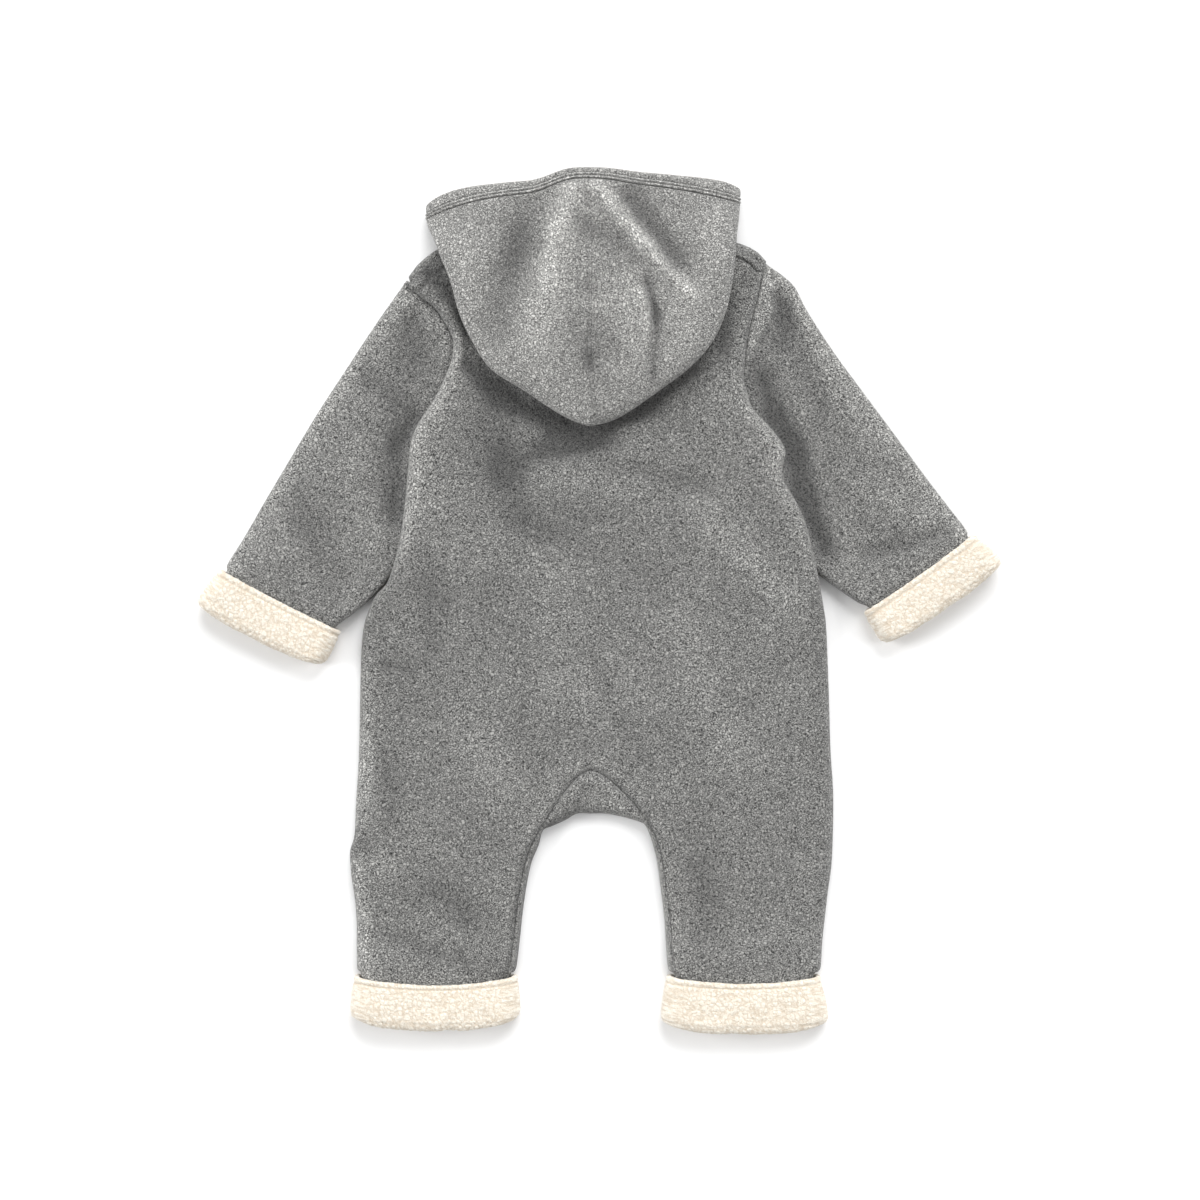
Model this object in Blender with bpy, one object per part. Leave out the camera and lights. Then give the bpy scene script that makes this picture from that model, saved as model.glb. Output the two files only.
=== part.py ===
"""A baby's hooded fleece overall, laid flat on its front with the hood folded back.

+Z is up and +Y points to the head. The floor under the garment is z = 0, and the origin is the
middle of the garment's box on that floor. Lengths in the tables are millimetres; the meshes are metres.
Left and right are the wearer's, which are -X and +X because the garment lies on its front.
"""
import math
from collections import namedtuple

import bmesh
import bpy
from mathutils import Vector

# ---- driving dimensions, mm -------------------------------------------------------------------
MM = 0.001
CENTRE_X = -7.0          # the garment's centre line
WALL = 4.5               # fleece bonded to its pile reverse
GUSSET_WALL = 2.4        # fleece pressed flat along the gusset
SEAM = 0.35              # room left between two pieces that are sewn together
PANEL_TOP = 12.9         # outside of the back panel over the fronts
YOKE_TOP = 15.0          # the same at the neck and shoulders, over the turned shoulder
SLEEVE_TOP = 9.8         # an empty sleeve pressed flat: two walls and a little loft
EDGE_ROUND = 8.0         # outside radius of a side fold
HEM_LIFT = 4.85          # a hem is held this high by the cuff turned up under it
TOP_SHARE = 0.85         # share of that lift that reaches the upper side, which the cuff presses
RIM_SHARE = 1.25         # a rim at the hem clears the rounded lower corner of the cuff
GUSSET_DROP = 9.5        # height of the gusset's rounded edge
HEM_RISE = (-234.0, -264.0)   # the legs rise to it between these y
BAND_DROP = 0.03         # share of its height that the band loses towards its free edge
PEAK_WIDTH = 0.25        # share of the hood's half width over which its peak fades
PEAK_POWER = 3           # how flat the peak is on top
DOME_POWER = 0.8         # how flat the hood's upper layer is across its middle
LOFT_SHARE = 0.6         # a sleeve is lofted over this share of its width, clear of the body
SHOULDER_ROUND = SLEEVE_TOP / 2
YOKE_SHARE = 0.3         # the neck's curve fades out over this share of the torso
CREST_SHARE = 0.55       # a row of the back rises to its crest over this outer share of its width
FLAT_SHARE = 0.2         # and the folds fade out over this one
GUSSET_FLAT = 0.1        # least flat width of the gusset beside its rounded edge
SAME_POINT = 0.01        # points nearer than this are one
DOWN = Vector((0.0, 0.0, -1.0))
HEADWARD = Vector((0.0, 1.0, 0.0))
SIDEWAYS = Vector((1.0, 0.0, 0.0))

FLEECE = (0.235, 0.232, 0.222)
FLEECE_HOOD = (0.315, 0.312, 0.300)
PILE = (0.92, 0.83, 0.68)
SNAP = (0.33, 0.32, 0.31)

# ---- outline tables, mm -----------------------------------------------------------------------
# A side edge of the back: its x at each y, the height of its crest, and how low its rim comes.
# The rim lies on the sleeve from the shoulder to the waist and comes down to the floor below that.
Side = namedtuple("Side", "y x crest base")
LEFT_SIDE = [Side(*row) for row in (
    (228, -140.5, 15.7, 10.2),
    (219, -129, 15.7, 10.2),
    (211, -119, 15.7, 10.2),
    (201, -112, 15.8, 10.2),
    (189, -106, 15.9, 10.2),
    (176, -106, 16.2, 10.2),
    (162, -111, 16.6, 10.2),
    (151, -116, 17.0, 10.2),
    (139, -123, 17.6, 10.2),
    (127, -131, 18.0, 10.2),
    (114, -136, 18.2, 10.2),
    (94, -138, 18.2, 10.2),
    (72, -140, 18.0, 10.2),
    (44, -144, 17.6, 10.2),
    (15, -152, 16.8, 10.2),
    (4, -161, 16.2, 10.2),
    (-7, -166.5, 15.2, 7.0),
    (-18, -170, 14.2, 2.0),
    (-36, -172, 13.4, 0.0),
    (-72, -173, 13.2, 0.0),
    (-115, -174, 13.2, 0.0),
    (-147, -176, 13.2, 0.0),
    (-169, -177, 13.2, 0.0),
    (-180, -180, 13.2, 0.0),
    (-190, -180, 13.2, 0.0),
    (-201, -179, 13.2, 0.0),
    (-223, -176, 13.2, 0.0),
    (-255, -175, 13.2, 0.0),
    (-265.5, -174.6, 13.2, 0.0),
    (-270, -171.8, 13.2, 0.0),
    (-293.5, -171.8, 13.2, 0.0),
)]
RIGHT_SIDE = [Side(*row) for row in (
    (240, 120, 15.7, 10.2),
    (232, 117, 15.7, 10.2),
    (218, 114, 15.7, 10.2),
    (195, 108, 15.8, 10.2),
    (174, 105, 15.9, 10.2),
    (160, 104, 16.2, 10.2),
    (149, 107, 16.6, 10.2),
    (139, 110, 17.0, 10.2),
    (127, 121, 17.6, 10.2),
    (116, 130, 18.0, 10.2),
    (107, 134, 18.2, 10.2),
    (97, 132, 18.0, 10.2),
    (86, 133, 17.8, 10.2),
    (71, 142, 17.8, 10.2),
    (54, 149, 17.6, 10.2),
    (34, 154, 17.0, 10.2),
    (17, 158, 16.4, 10.2),
    (6, 160, 15.4, 7.0),
    (-5, 162, 14.4, 2.0),
    (-22, 164, 13.4, 0.0),
    (-74, 166, 13.2, 0.0),
    (-108, 167, 13.2, 0.0),
    (-143, 169, 13.2, 0.0),
    (-187, 168, 13.2, 0.0),
    (-211, 165, 13.2, 0.0),
    (-246, 161, 13.2, 0.0),
    (-265.5, 159.2, 13.2, 0.0),
    (-270, 154.5, 13.2, 0.0),
    (-293.5, 154.5, 13.2, 0.0),
)]

# The inner side of each leg, from the top of the crotch arch to the ankle: the seam between the back
# and the gusset, the outer edge of the gusset, and the y on the leg's outer side at the same row.
Inseam = namedtuple("Inseam", "seam_x seam_y edge_x edge_y side_y")
LEFT_INSEAM = [Inseam(*row) for row in (
    (CENTRE_X, -122, CENTRE_X, -154, -128),
    (-15, -126, -16, -154, -134),
    (-24, -136, -25, -159, -143),
    (-33, -149, -34, -163, -154),
    (-41, -162, -41, -166.5, -166),
    (-48, -174, -44, -177, -177),
    (-53, -187, -49, -189, -189),
    (-57, -205, -52.5, -205, -206),
    (-60, -225, -55.5, -225, -226),
    (-62, -244, -57.5, -244, -244),
    (-65, -265.5, -60.2, -265.5, -265.5),
    (-68.5, -270, -64.2, -270, -270),
    (-68.7, -293.5, -64.4, -293.5, -293.5),
)]
RIGHT_INSEAM = [Inseam(*row) for row in (
    (CENTRE_X, -122, CENTRE_X, -154, -128),
    (2, -125, 4, -154, -134),
    (13, -134, 15, -156, -142),
    (24, -145, 26, -159, -152),
    (32, -156, 32.5, -162, -163),
    (39, -167, 36.5, -170, -172),
    (43.5, -178, 39.6, -180, -183),
    (46, -190, 42, -191, -194),
    (51, -226, 46.5, -226, -228),
    (52.5, -246, 48, -246, -247),
    (54.3, -265.5, 49.6, -265.5, -265.5),
    (58.2, -270, 53.8, -270, -270),
    (58.4, -293.5, 54, -293.5, -293.5),
)]

# The neck and shoulder edge of one half, from the centre (0) to the arm (1): its height above a
# straight line between those two points.
NECK_Y = 250.0
NECK_STEP = 1.5          # the back's edge is this far below the front's
LEFT_TIP = (-137.0, 228.0)
RIGHT_TIP = (119.0, 241.5)
LEFT_FRONT_TIP = (-136.4, 229.4)
RIGHT_FRONT_TIP = (119.5, 240.5)
Rise = namedtuple("Rise", "share height")
LEFT_RISE = [Rise(*row) for row in (
    (0, 0),
    (0.23, 6),
    (0.46, 12),
    (0.65, 16),
    (0.8, 18.5),
    (0.9, 12.5),
    (0.96, 6.5),
    (1, 0),
)]
RIGHT_RISE = [Rise(*row) for row in (
    (0, 0),
    (0.25, 4),
    (0.53, 9),
    (0.74, 13),
    (0.88, 10.5),
    (0.96, 5.5),
    (1, 0),
)]

# Sleeve sections from the armhole to the hem: the outer and the inner edge, how far the row bows
# towards the body, the height of its underside, and the loft of its upper layer over SLEEVE_TOP.
Sleeve = namedtuple("Sleeve", "outer_x outer_y inner_x inner_y bow low loft")
LEFT_SLEEVE = [Sleeve(*row) for row in (
    (-144, 228.5, -104, 120, 27, 0.0, 0.0),
    (-162.8, 198, -114, 104, 9, 0.0, 0.6),
    (-183.8, 166, -120, 82, 3, 0.0, 2.2),
    (-204.6, 134, -128, 61, 0, 0.0, 2.6),
    (-225, 100, -137, 40, 0, 0.0, 2.6),
    (-241, 73, -147, 22, 0, 0.0, 2.4),
    (-257, 45, -162, 4, 0, 1.2, 2.0),
    (-268, 26.8, -182.5, -13.3, 0, 4.2, 0.6),
    (-269, 20.5, -190.5, -19.7, 0, HEM_LIFT, 0.0),
    (-278.2, 4.2, -199.8, -34.6, 0, HEM_LIFT, 0.0),
)]
RIGHT_SLEEVE = [Sleeve(*row) for row in (
    (123, 243.5, 108, 120, -11.5, 0.0, 0.0),
    (139.5, 228.5, 110, 111, -7, 0.0, 0.2),
    (150, 209.5, 112, 101, -4, 0.0, 0.6),
    (169, 180, 117, 80, 0, 0.0, 2.2),
    (191, 150, 125, 61, 0, 0.0, 2.6),
    (214, 119, 135, 43, 0, 0.0, 2.6),
    (233, 93, 147, 28, 0, 0.0, 2.4),
    (251, 69, 163, 15, 0, 1.2, 2.0),
    (264.3, 51.2, 185, -0.6, 0, 4.2, 0.6),
    (266, 45.4, 194.5, -5.3, 0, HEM_LIFT, 0.0),
    (276.4, 31, 204.9, -19.5, 0, HEM_LIFT, 0.0),
)]

# Cuffs: the two ends of the hem line and of the fold line, the limb's upper side there, how square its
# lower corners are (1 is round), how far the free edge sags along the limb, how far the corners of the
# fold draw back, and the radius of those corners.
CUFF_EASE = 0.4          # room between a cuff's sides and the limb in it
CUFF_SEAM = 0.66         # the cuff joins the limb's hem at this share of the way to its fold
CUFF_TURN = 0.84         # and starts to turn at this one
CUFF_MIDDLE = 0.4        # one more row across its outside
CORNER_POWER = 5         # how near to its ends the fold starts to draw back
Cuff = namedtuple("Cuff", "hem_a hem_b fold_a fold_b high square sag corner round")
CUFFS = {
    "leg_cuff_left": Cuff((-171.8, -270), (-64.2, -270), (-174.4, -309), (-62.8, -309), 17.8, 0.2, 6, 6, 7),
    "leg_cuff_right": Cuff((53.8, -270), (154.5, -270), (48.2, -311.5), (160.4, -311.5), 17.8, 0.2, 5, 5.5, 5),
    "sleeve_cuff_left": Cuff((-269, 20.5), (-190.5, -19.7), (-289.5, -7.2), (-206.6, -49), 14.7, 1.0, 1, 3, 4),
    "sleeve_cuff_right": Cuff((194.5, -5.3), (266, 45.4), (211, -32.5), (289.6, 21), 14.7, 1.0, 1, 3, 4),
}

# Hood halves, rows from the face edge to the tip: the centre seam on the upper layer, the peak of the
# row at that seam, how late the row turns to the side fold, that fold with its height and radius, and the
# inner end of the lower layer, which follows the neck to the back of the neck and then the centre seam
# to the tip.
Hood = namedtuple("Hood", "top_y top_z peak sweep side_x side_y side_z radius low_x low_y low_z")
LEFT_HOOD = [Hood(*row) for row in (
    (301, 33.0, 10, 3.0, -125, 274, 8.6, 8.0, -7, 278, 0.3),
    (286, 34.5, 6, 2.8, -122.5, 266.5, 12.0, 7.5, -7, 272, 2.0),
    (269, 35.5, 2, 2.6, -119, 259, 17.5, 6.5, -7, 266, 11.0),
    (250, 36.0, 0, 2.6, -115, 249, 22.6, 6.2, -7, 257, 16.2),
    (228, 36.0, 0, 2.6, -107, 229, 23.2, 6.2, -7, 240, 16.0),
    (205, 35.5, 0, 2.6, -101, 207, 23.4, 6.2, -7, 218, 15.4),
    (184, 34.5, 0, 2.6, -92, 187, 23.4, 6.2, -7, 195, 14.2),
    (165, 33.0, 0, 2.6, -78, 166, 23.2, 6.2, -7, 173, 13.8),
    (149, 31.0, 0, 2.6, -55, 151, 22.6, 6.2, -7, 154, 13.8),
    (138, 29.5, 0, 2.6, -30, 136, 22.0, 6.4, -7, 139, 13.8),
    (131, 28.6, 0, 2.6, -7, 126, 21.0, 7.0, -7, 131, 14.0),
)]
RIGHT_HOOD = [Hood(*row) for row in (
    (301, 33.0, 2.6, 1.8, 101.5, 285.5, 8.6, 8.0, -7, 278, 0.3),
    (286, 34.5, 2, 2.0, 100.5, 275, 12.0, 7.5, -7, 272, 2.0),
    (269, 35.5, 1, 2.3, 99, 264, 17.5, 6.5, -7, 266, 11.0),
    (250, 36.0, 0, 2.6, 98, 253, 22.6, 6.2, -7, 257, 16.2),
    (228, 36.0, 0, 2.6, 96, 233, 23.2, 6.2, -7, 240, 16.0),
    (205, 35.5, 0, 2.6, 91, 208, 23.4, 6.2, -7, 218, 15.4),
    (184, 34.5, 0, 2.6, 82, 187, 23.4, 6.2, -7, 195, 14.2),
    (165, 33.0, 0, 2.6, 64, 170, 23.2, 6.2, -7, 173, 13.8),
    (149, 31.0, 0, 2.6, 41, 153, 22.6, 6.2, -7, 154, 13.8),
    (138, 29.5, 0, 2.6, 17, 138, 22.0, 6.4, -7, 139, 13.8),
    (131, 28.6, 0, 2.6, -7, 126, 21.0, 7.0, -7, 131, 14.0),
)]

# The width of the band round the hood's face edge, from the centre seam (0) to the side fold (1).
Band = namedtuple("Band", "share width")
BAND = [Band(*row) for row in ((0, 8.2), (0.35, 9.2), (0.6, 10.4), (0.8, 12.2), (0.92, 12.6), (1, 11.5))]

# The largest folds of the back panel: each runs between two points, with its depth (a trough is
# below zero) and its half width.
Fold = namedtuple("Fold", "x0 y0 x1 y1 depth width")
FOLDS = [Fold(*row) for row in (
    (-75, 92, -57, 58, -1.4, 16),
    (14, 100, 96, 74, -1.4, 13),
    (-100, 6, -60, 2, -0.9, 12),
    (76, 60, 132, 0, 1.6, 14),
    (-128, 8, -118, -50, -1.2, 14),
    (-165, -47, -140, -52, -1.2, 6),
    (4, -48, 40, -124, -0.9, 10),
    (-155, -248, -88, -264, -1.0, 9),
    (-112, -208, -106, -222, -1.2, 14),
    (82, -196, 80, -246, -1.0, 14),
)]

PLACKET_WIDTH = 24.0
PLACKET_THICK = 2.4
PLACKET_ENDS = (240.0, -140.0)
SNAP_RADIUS = 5.5
SNAP_THICK = 1.2
SNAP_LIFT = 0.3          # height of a snap's face over the floor, and the room over its back
SNAP_X = CENTRE_X - 8.0
SNAP_YS = (226.0, 146.0, 66.0, -14.0, -94.0)
FRONT_INSET = 4.6        # a front's inner leg edge lies this far inside the gusset's edge
SHOULDER_FLANGE = 0.45   # share of SHOULDER_ROUND that the shoulder strip runs on under the back
RIM_ROOM = 0.6           # room between a front's side edge and the back's rim
SLEEVE_ROOM = 1.4        # the same to the sleeve's seam
UNDERARM_SHARE = 0.7     # share of the sleeve's inner edge that can lie beside a front
SNAP_POCKET = 0.5        # room round a snap in the cloth that it is pressed into

# How finely the cloth is divided
TORSO_ROWS = 19
LEG_ROWS = 12
BACK_COLUMNS = 6
FRONT_COLUMNS = 4
SHOULDER_COLUMN = 1      # the front's shoulder strip starts at this column
EDGE_STEPS = 3
SHOULDER_STEPS = 5
SEAM_STEPS = 28
PLACKET_ROWS = 8
RING_TOP = 5
RING_BOTTOM = 3
RING_ARC = 4
CUFF_ARC = 4
HOOD_ROWS = 12
HOOD_UPPER = 6
HOOD_CURL = 3
HOOD_LOWER = 3


# ---- curves -----------------------------------------------------------------------------------
def smooth_step(t):
    t = min(1.0, max(0.0, t))
    return t * t * (3.0 - 2.0 * t)


def mix(a, b, t):
    return a + (b - a) * t


def spline(rows, t):
    """The values of a table at t, from 0 at its first row to 1 at its last, on a smooth curve."""
    place = min(max(t, 0.0), 1.0) * (len(rows) - 1)
    i = min(int(place), len(rows) - 2)
    f = place - i
    before, start = rows[max(i - 1, 0)], rows[i]
    end, after = rows[i + 1], rows[min(i + 2, len(rows) - 1)]
    values = []
    for a, b, c, d in zip(before, start, end, after):
        bend = (2 * a - 5 * b + 4 * c - d) * f * f + (3 * b - a - 3 * c + d) * f ** 3
        values.append(b + 0.5 * ((c - a) * f + bend))
    return type(start)(*values)


def at_key(rows, key):
    """The values of a table at a value of its first column, on a smooth curve."""
    keys = [row[0] for row in rows]
    sign = 1.0 if keys[-1] > keys[0] else -1.0
    i = 0
    while i < len(keys) - 2 and (key - keys[i + 1]) * sign > 0:
        i += 1
    f = min(1.0, max(0.0, (key - keys[i]) / (keys[i + 1] - keys[i])))
    return spline(rows, (i + f) / (len(rows) - 1))


def hem_lift(y):
    return HEM_LIFT * smooth_step((HEM_RISE[0] - y) / (HEM_RISE[0] - HEM_RISE[1]))


def fold_height(x, y):
    """What the panel's folds add to its height at a point."""
    height = 0.0
    for fold in FOLDS:
        dx, dy = fold.x1 - fold.x0, fold.y1 - fold.y0
        length = math.hypot(dx, dy)
        along = ((x - fold.x0) * dx + (y - fold.y0) * dy) / length
        across = ((x - fold.x0) * dy - (y - fold.y0) * dx) / length
        past = max(0.0, -along, along - length)
        height += fold.depth * math.exp(-(across ** 2 + past ** 2) / fold.width ** 2)
    return height


# ---- meshes -----------------------------------------------------------------------------------
def material(name, colour, rough):
    made = bpy.data.materials.new(name)
    made.use_nodes = True
    shader = made.node_tree.nodes["Principled BSDF"]
    shader.inputs["Base Color"].default_value = (*colour, 1.0)
    shader.inputs["Roughness"].default_value = rough
    shader.inputs["Metallic"].default_value = 0.0
    return made


def add_object(name, mesh_builder, finish):
    """A named object from a bmesh whose points are in millimetres."""
    bmesh.ops.scale(mesh_builder, vec=(MM, MM, MM), verts=mesh_builder.verts)
    mesh = bpy.data.meshes.new(name)
    mesh_builder.to_mesh(mesh)
    mesh_builder.free()
    mesh.shade_smooth()
    mesh.materials.append(finish)
    made = bpy.data.objects.new(name, mesh)
    bpy.context.scene.collection.objects.link(made)
    return made


def add_grid(bm, rows, closed=False):
    """Quads between rows of points, each row as long as the first. Returns the rows of vertices."""
    grid = [[bm.verts.new(point) for point in row] for row in rows]
    count = len(grid[0])
    for upper, lower in zip(grid, grid[1:]):
        for j in range(count if closed else count - 1):
            k = (j + 1) % count
            bm.faces.new((upper[j], lower[j], lower[k], upper[k]))
    return grid


def turn_outwards(bm, up):
    """Turns every face so that the highest one (or the lowest, if not up) faces outwards."""
    bmesh.ops.recalc_face_normals(bm, faces=bm.faces)
    bm.normal_update()
    sign = 1.0 if up else -1.0
    probe = max(bm.faces, key=lambda f: sign * f.calc_center_median().z + abs(f.normal.z))
    if probe.normal.z * sign < 0:
        bmesh.ops.reverse_faces(bm, faces=bm.faces)
    bm.normal_update()


def level(normal, along):
    """A direction turned square to a row's own run, so that cloth thickens across the row alone."""
    flat = normal - along * normal.dot(along)
    return flat.normalized()


def thicken(bm, wall, inward):
    """Gives an open surface its wall. inward turns a vertex into the direction of its wall."""
    outer_faces = list(bm.faces)
    rim = [edge for edge in bm.edges if edge.is_boundary]
    inner = {vert: bm.verts.new(vert.co + inward(vert) * wall) for vert in list(bm.verts)}
    for edge in rim:
        a, b = edge.verts
        loop = edge.link_loops[0]
        if loop.vert is not a:
            a, b = b, a
        bm.faces.new((b, a, inner[a], inner[b]))
    for face in outer_faces:
        bm.faces.new([inner[vert] for vert in reversed(face.verts)])
    bm.normal_update()


# ---- back panel and gusset --------------------------------------------------------------------
def rim_round(side):
    """The radius of a side fold, which shrinks where the rim lies on the sleeve."""
    return min(EDGE_ROUND, side.crest - side.base - SEAM)


def back_row(inner, side, yoke, rises):
    """One row of the back, from its inner end out to the side fold and down to the rim."""
    rim_lift = hem_lift(side.y) * RIM_SHARE
    lift = hem_lift(side.y) * TOP_SHARE
    outward = math.copysign(1.0, side.x - CENTRE_X)
    radius = rim_round(side)
    shoulder_x = side.x - outward * radius
    row = []
    for j in range(BACK_COLUMNS + 1):
        u = j / BACK_COLUMNS
        x = mix(inner[0], shoulder_x, u)
        y = mix(inner[1], side.y, u) + yoke * at_key(rises, u).height
        flat = mix(PANEL_TOP, YOKE_TOP, smooth_step(yoke * yoke))
        z = mix(flat, side.crest, smooth_step((u - 1.0 + CREST_SHARE) / CREST_SHARE)) + lift
        near_edge = smooth_step((1.0 - u) / FLAT_SHARE)
        row.append((x, y, z + fold_height(x, y) * near_edge))
    for step in range(1, EDGE_STEPS + 1):
        angle = math.pi / 2 * step / EDGE_STEPS
        x = shoulder_x + outward * radius * math.sin(angle)
        z = side.crest - radius * (1.0 - math.cos(angle)) + lift
        row.append((x, side.y, z))
    row.append((side.x, side.y, max(0.0, side.base) + rim_lift))
    return row


def back_half(bm, sides, inseam, tip, rises):
    rows = []
    for i in range(TORSO_ROWS + 1):
        v = i / TORSO_ROWS
        yoke = max(0.0, 1.0 - v / YOKE_SHARE) ** 2
        inner = (CENTRE_X, mix(NECK_Y - NECK_STEP, inseam[0].seam_y, v))
        side_y = mix(tip[1] - NECK_STEP, inseam[0].side_y, v)
        rows.append(back_row(inner, at_key(sides, side_y), yoke, rises))
    for i in range(1, LEG_ROWS + 1):
        leg = spline(inseam, i / LEG_ROWS)
        rows.append(back_row((leg.seam_x, leg.seam_y), at_key(sides, leg.side_y), 0.0, rises))
    add_grid(bm, rows)


def make_back(finish):
    bm = bmesh.new()
    back_half(bm, LEFT_SIDE, LEFT_INSEAM, LEFT_TIP, LEFT_RISE)
    back_half(bm, RIGHT_SIDE, RIGHT_INSEAM, RIGHT_TIP, RIGHT_RISE)
    bmesh.ops.remove_doubles(bm, verts=bm.verts, dist=SAME_POINT)
    turn_outwards(bm, up=True)
    seam = [Vector((row.seam_x, row.seam_y)) for row in inseam_rows()]

    def inward(vert):
        on_seam = min((vert.co.xy - point).length for point in seam) < SAME_POINT
        return DOWN if on_seam else -level(vert.normal, HEADWARD)

    thicken(bm, WALL, inward)
    return add_object("back_panel", bm, finish)


def inseam_rows():
    """The rows along both inner legs, from the left ankle over the crotch to the right ankle."""
    left = [spline(LEFT_INSEAM, i / LEG_ROWS) for i in range(LEG_ROWS + 1)]
    right = [spline(RIGHT_INSEAM, i / LEG_ROWS) for i in range(1, LEG_ROWS + 1)]
    return left[::-1] + right


def gusset_row(leg):
    """One row of the gusset, from the seam with the back, over its edge and down to the floor."""
    dx, dy = leg.edge_x - leg.seam_x, leg.edge_y - leg.seam_y
    width = math.hypot(dx, dy)
    dx, dy = dx / width, dy / width
    lift = hem_lift(leg.seam_y)
    across = min(EDGE_ROUND, width - SEAM - GUSSET_FLAT)
    top = PANEL_TOP + lift * TOP_SHARE + fold_height(leg.seam_x, leg.seam_y)
    run = width - SEAM - across
    row = []
    for share in (0.0, 0.5, 1.0):
        reach = SEAM + run * share
        row.append((leg.seam_x + dx * reach, leg.seam_y + dy * reach, top))
    for step in range(1, EDGE_STEPS + 1):
        angle = math.pi / 2 * step / EDGE_STEPS
        reach = width - across * (1.0 - math.sin(angle))
        z = top - GUSSET_DROP * (1.0 - math.cos(angle))
        row.append((leg.seam_x + dx * reach, leg.seam_y + dy * reach, z))
    row.append((leg.edge_x, leg.edge_y, lift * RIM_SHARE))
    return row


def make_gusset(finish):
    bm = bmesh.new()
    run = {}
    legs = inseam_rows()
    for leg, row in zip(legs, add_grid(bm, [gusset_row(leg) for leg in legs])):
        across = Vector((leg.edge_x - leg.seam_x, leg.edge_y - leg.seam_y, 0.0)).normalized()
        for vert in row[3:]:
            run[vert] = Vector((-across.y, across.x, 0.0))
    turn_outwards(bm, up=True)
    thicken(bm, GUSSET_WALL, lambda vert: -level(vert.normal, run[vert]) if vert in run else DOWN)
    return add_object("gusset", bm, finish)


# ---- fronts, placket and snaps ----------------------------------------------------------------
def front_side(sides, sleeve, y):
    """The x of a front's side edge: along the sleeve's seam, and inside the back's rim below it."""
    inward = 1.0 if sides[0].x < CENTRE_X else -1.0
    side_x = at_key(sides, y).x + inward * (WALL + RIM_ROOM)
    line = [armhole_point(sleeve[0], k / SEAM_STEPS) for k in range(SEAM_STEPS + 1)]
    for k in range(1, SEAM_STEPS + 1):
        row = spline(sleeve, UNDERARM_SHARE * k / SEAM_STEPS)
        line.append((row.inner_x, row.inner_y))
    for (x0, y0), (x1, y1) in zip(line, line[1:]):
        if y1 <= y < y0:
            sleeve_x = mix(x0, x1, (y0 - y) / (y0 - y1)) + inward * SLEEVE_ROOM
            side_x = max(sleeve_x, side_x) if inward > 0 else min(sleeve_x, side_x)
    return side_x


def armhole_point(row, s):
    """A point of a bowed sleeve row, from its outer edge (0) to its inner edge (1)."""
    dx, dy = row.inner_x - row.outer_x, row.inner_y - row.outer_y
    length = math.hypot(dx, dy)
    bow = row.bow * 4.0 * s * (1.0 - s)
    return (mix(row.outer_x, row.inner_x, s) - dy / length * bow,
            mix(row.outer_y, row.inner_y, s) + dx / length * bow)


def front_rows(sides, inseam, sleeve, tip, rises):
    """The flat rows of a front, each from the centre opening or the inner leg to its side edge."""
    opening_x = CENTRE_X + math.copysign(SEAM / 2, tip[0])
    ends = []
    for i in range(TORSO_ROWS + 1):
        v = i / TORSO_ROWS
        inner = (opening_x, mix(NECK_Y, inseam[0].edge_y + WALL, v))
        side_y = mix(tip[1], inseam[0].side_y, v)
        outer = tip if i == 0 else (front_side(sides, sleeve, side_y), side_y)
        ends.append((inner, outer, max(0.0, 1.0 - v / YOKE_SHARE) ** 2))
    for i in range(1, LEG_ROWS + 1):
        leg = spline(inseam, i / LEG_ROWS)
        across = Vector((leg.seam_x - leg.edge_x, leg.seam_y - leg.edge_y)).normalized()
        inner = (leg.edge_x + across.x * FRONT_INSET, leg.edge_y + across.y * FRONT_INSET)
        ends.append((inner, (front_side(sides, sleeve, leg.side_y), leg.side_y), 0.0))
    rows = []
    for inner, outer, yoke in ends:
        row = []
        for j in range(FRONT_COLUMNS + 1):
            u = math.sin(math.pi / 2 * j / FRONT_COLUMNS)
            y = mix(inner[1], outer[1], u) + yoke * at_key(rises, u).height
            row.append((mix(inner[0], outer[0], u), y, hem_lift(y)))
        rows.append(row)
    return rows


def make_front(name, sides, inseam, sleeve, tip, rises, finish):
    """A front with the strip of it that turns up over the shoulder and under the back's edge."""
    bm = bmesh.new()
    grid = add_grid(bm, front_rows(sides, inseam, sleeve, tip, rises))
    last = grid[0][SHOULDER_COLUMN:]
    edge = [vert.co.copy() for vert in last]
    along = (edge[-1] - edge[0]).normalized()
    out = Vector((-along.y, along.x, 0.0)) if along.x > 0 else Vector((along.y, -along.x, 0.0))
    strip = set()
    angles = [math.pi * k / SHOULDER_STEPS for k in range(1, SHOULDER_STEPS + 1)]
    turns = [(math.sin(angle), 1.0 - math.cos(angle)) for angle in angles]
    for reach, height in turns + [(-SHOULDER_FLANGE, 2.0)]:
        row = [bm.verts.new(point + out * SHOULDER_ROUND * reach - DOWN * SHOULDER_ROUND * height)
               for point in edge]
        for j in range(len(row) - 1):
            bm.faces.new((last[j], last[j + 1], row[j + 1], row[j]))
        strip.update(row)
        last = row
    turn_outwards(bm, up=False)
    thicken(bm, WALL, lambda vert: -level(vert.normal, along) if vert in strip else -DOWN)
    return add_object(name, bm, finish)


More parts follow.
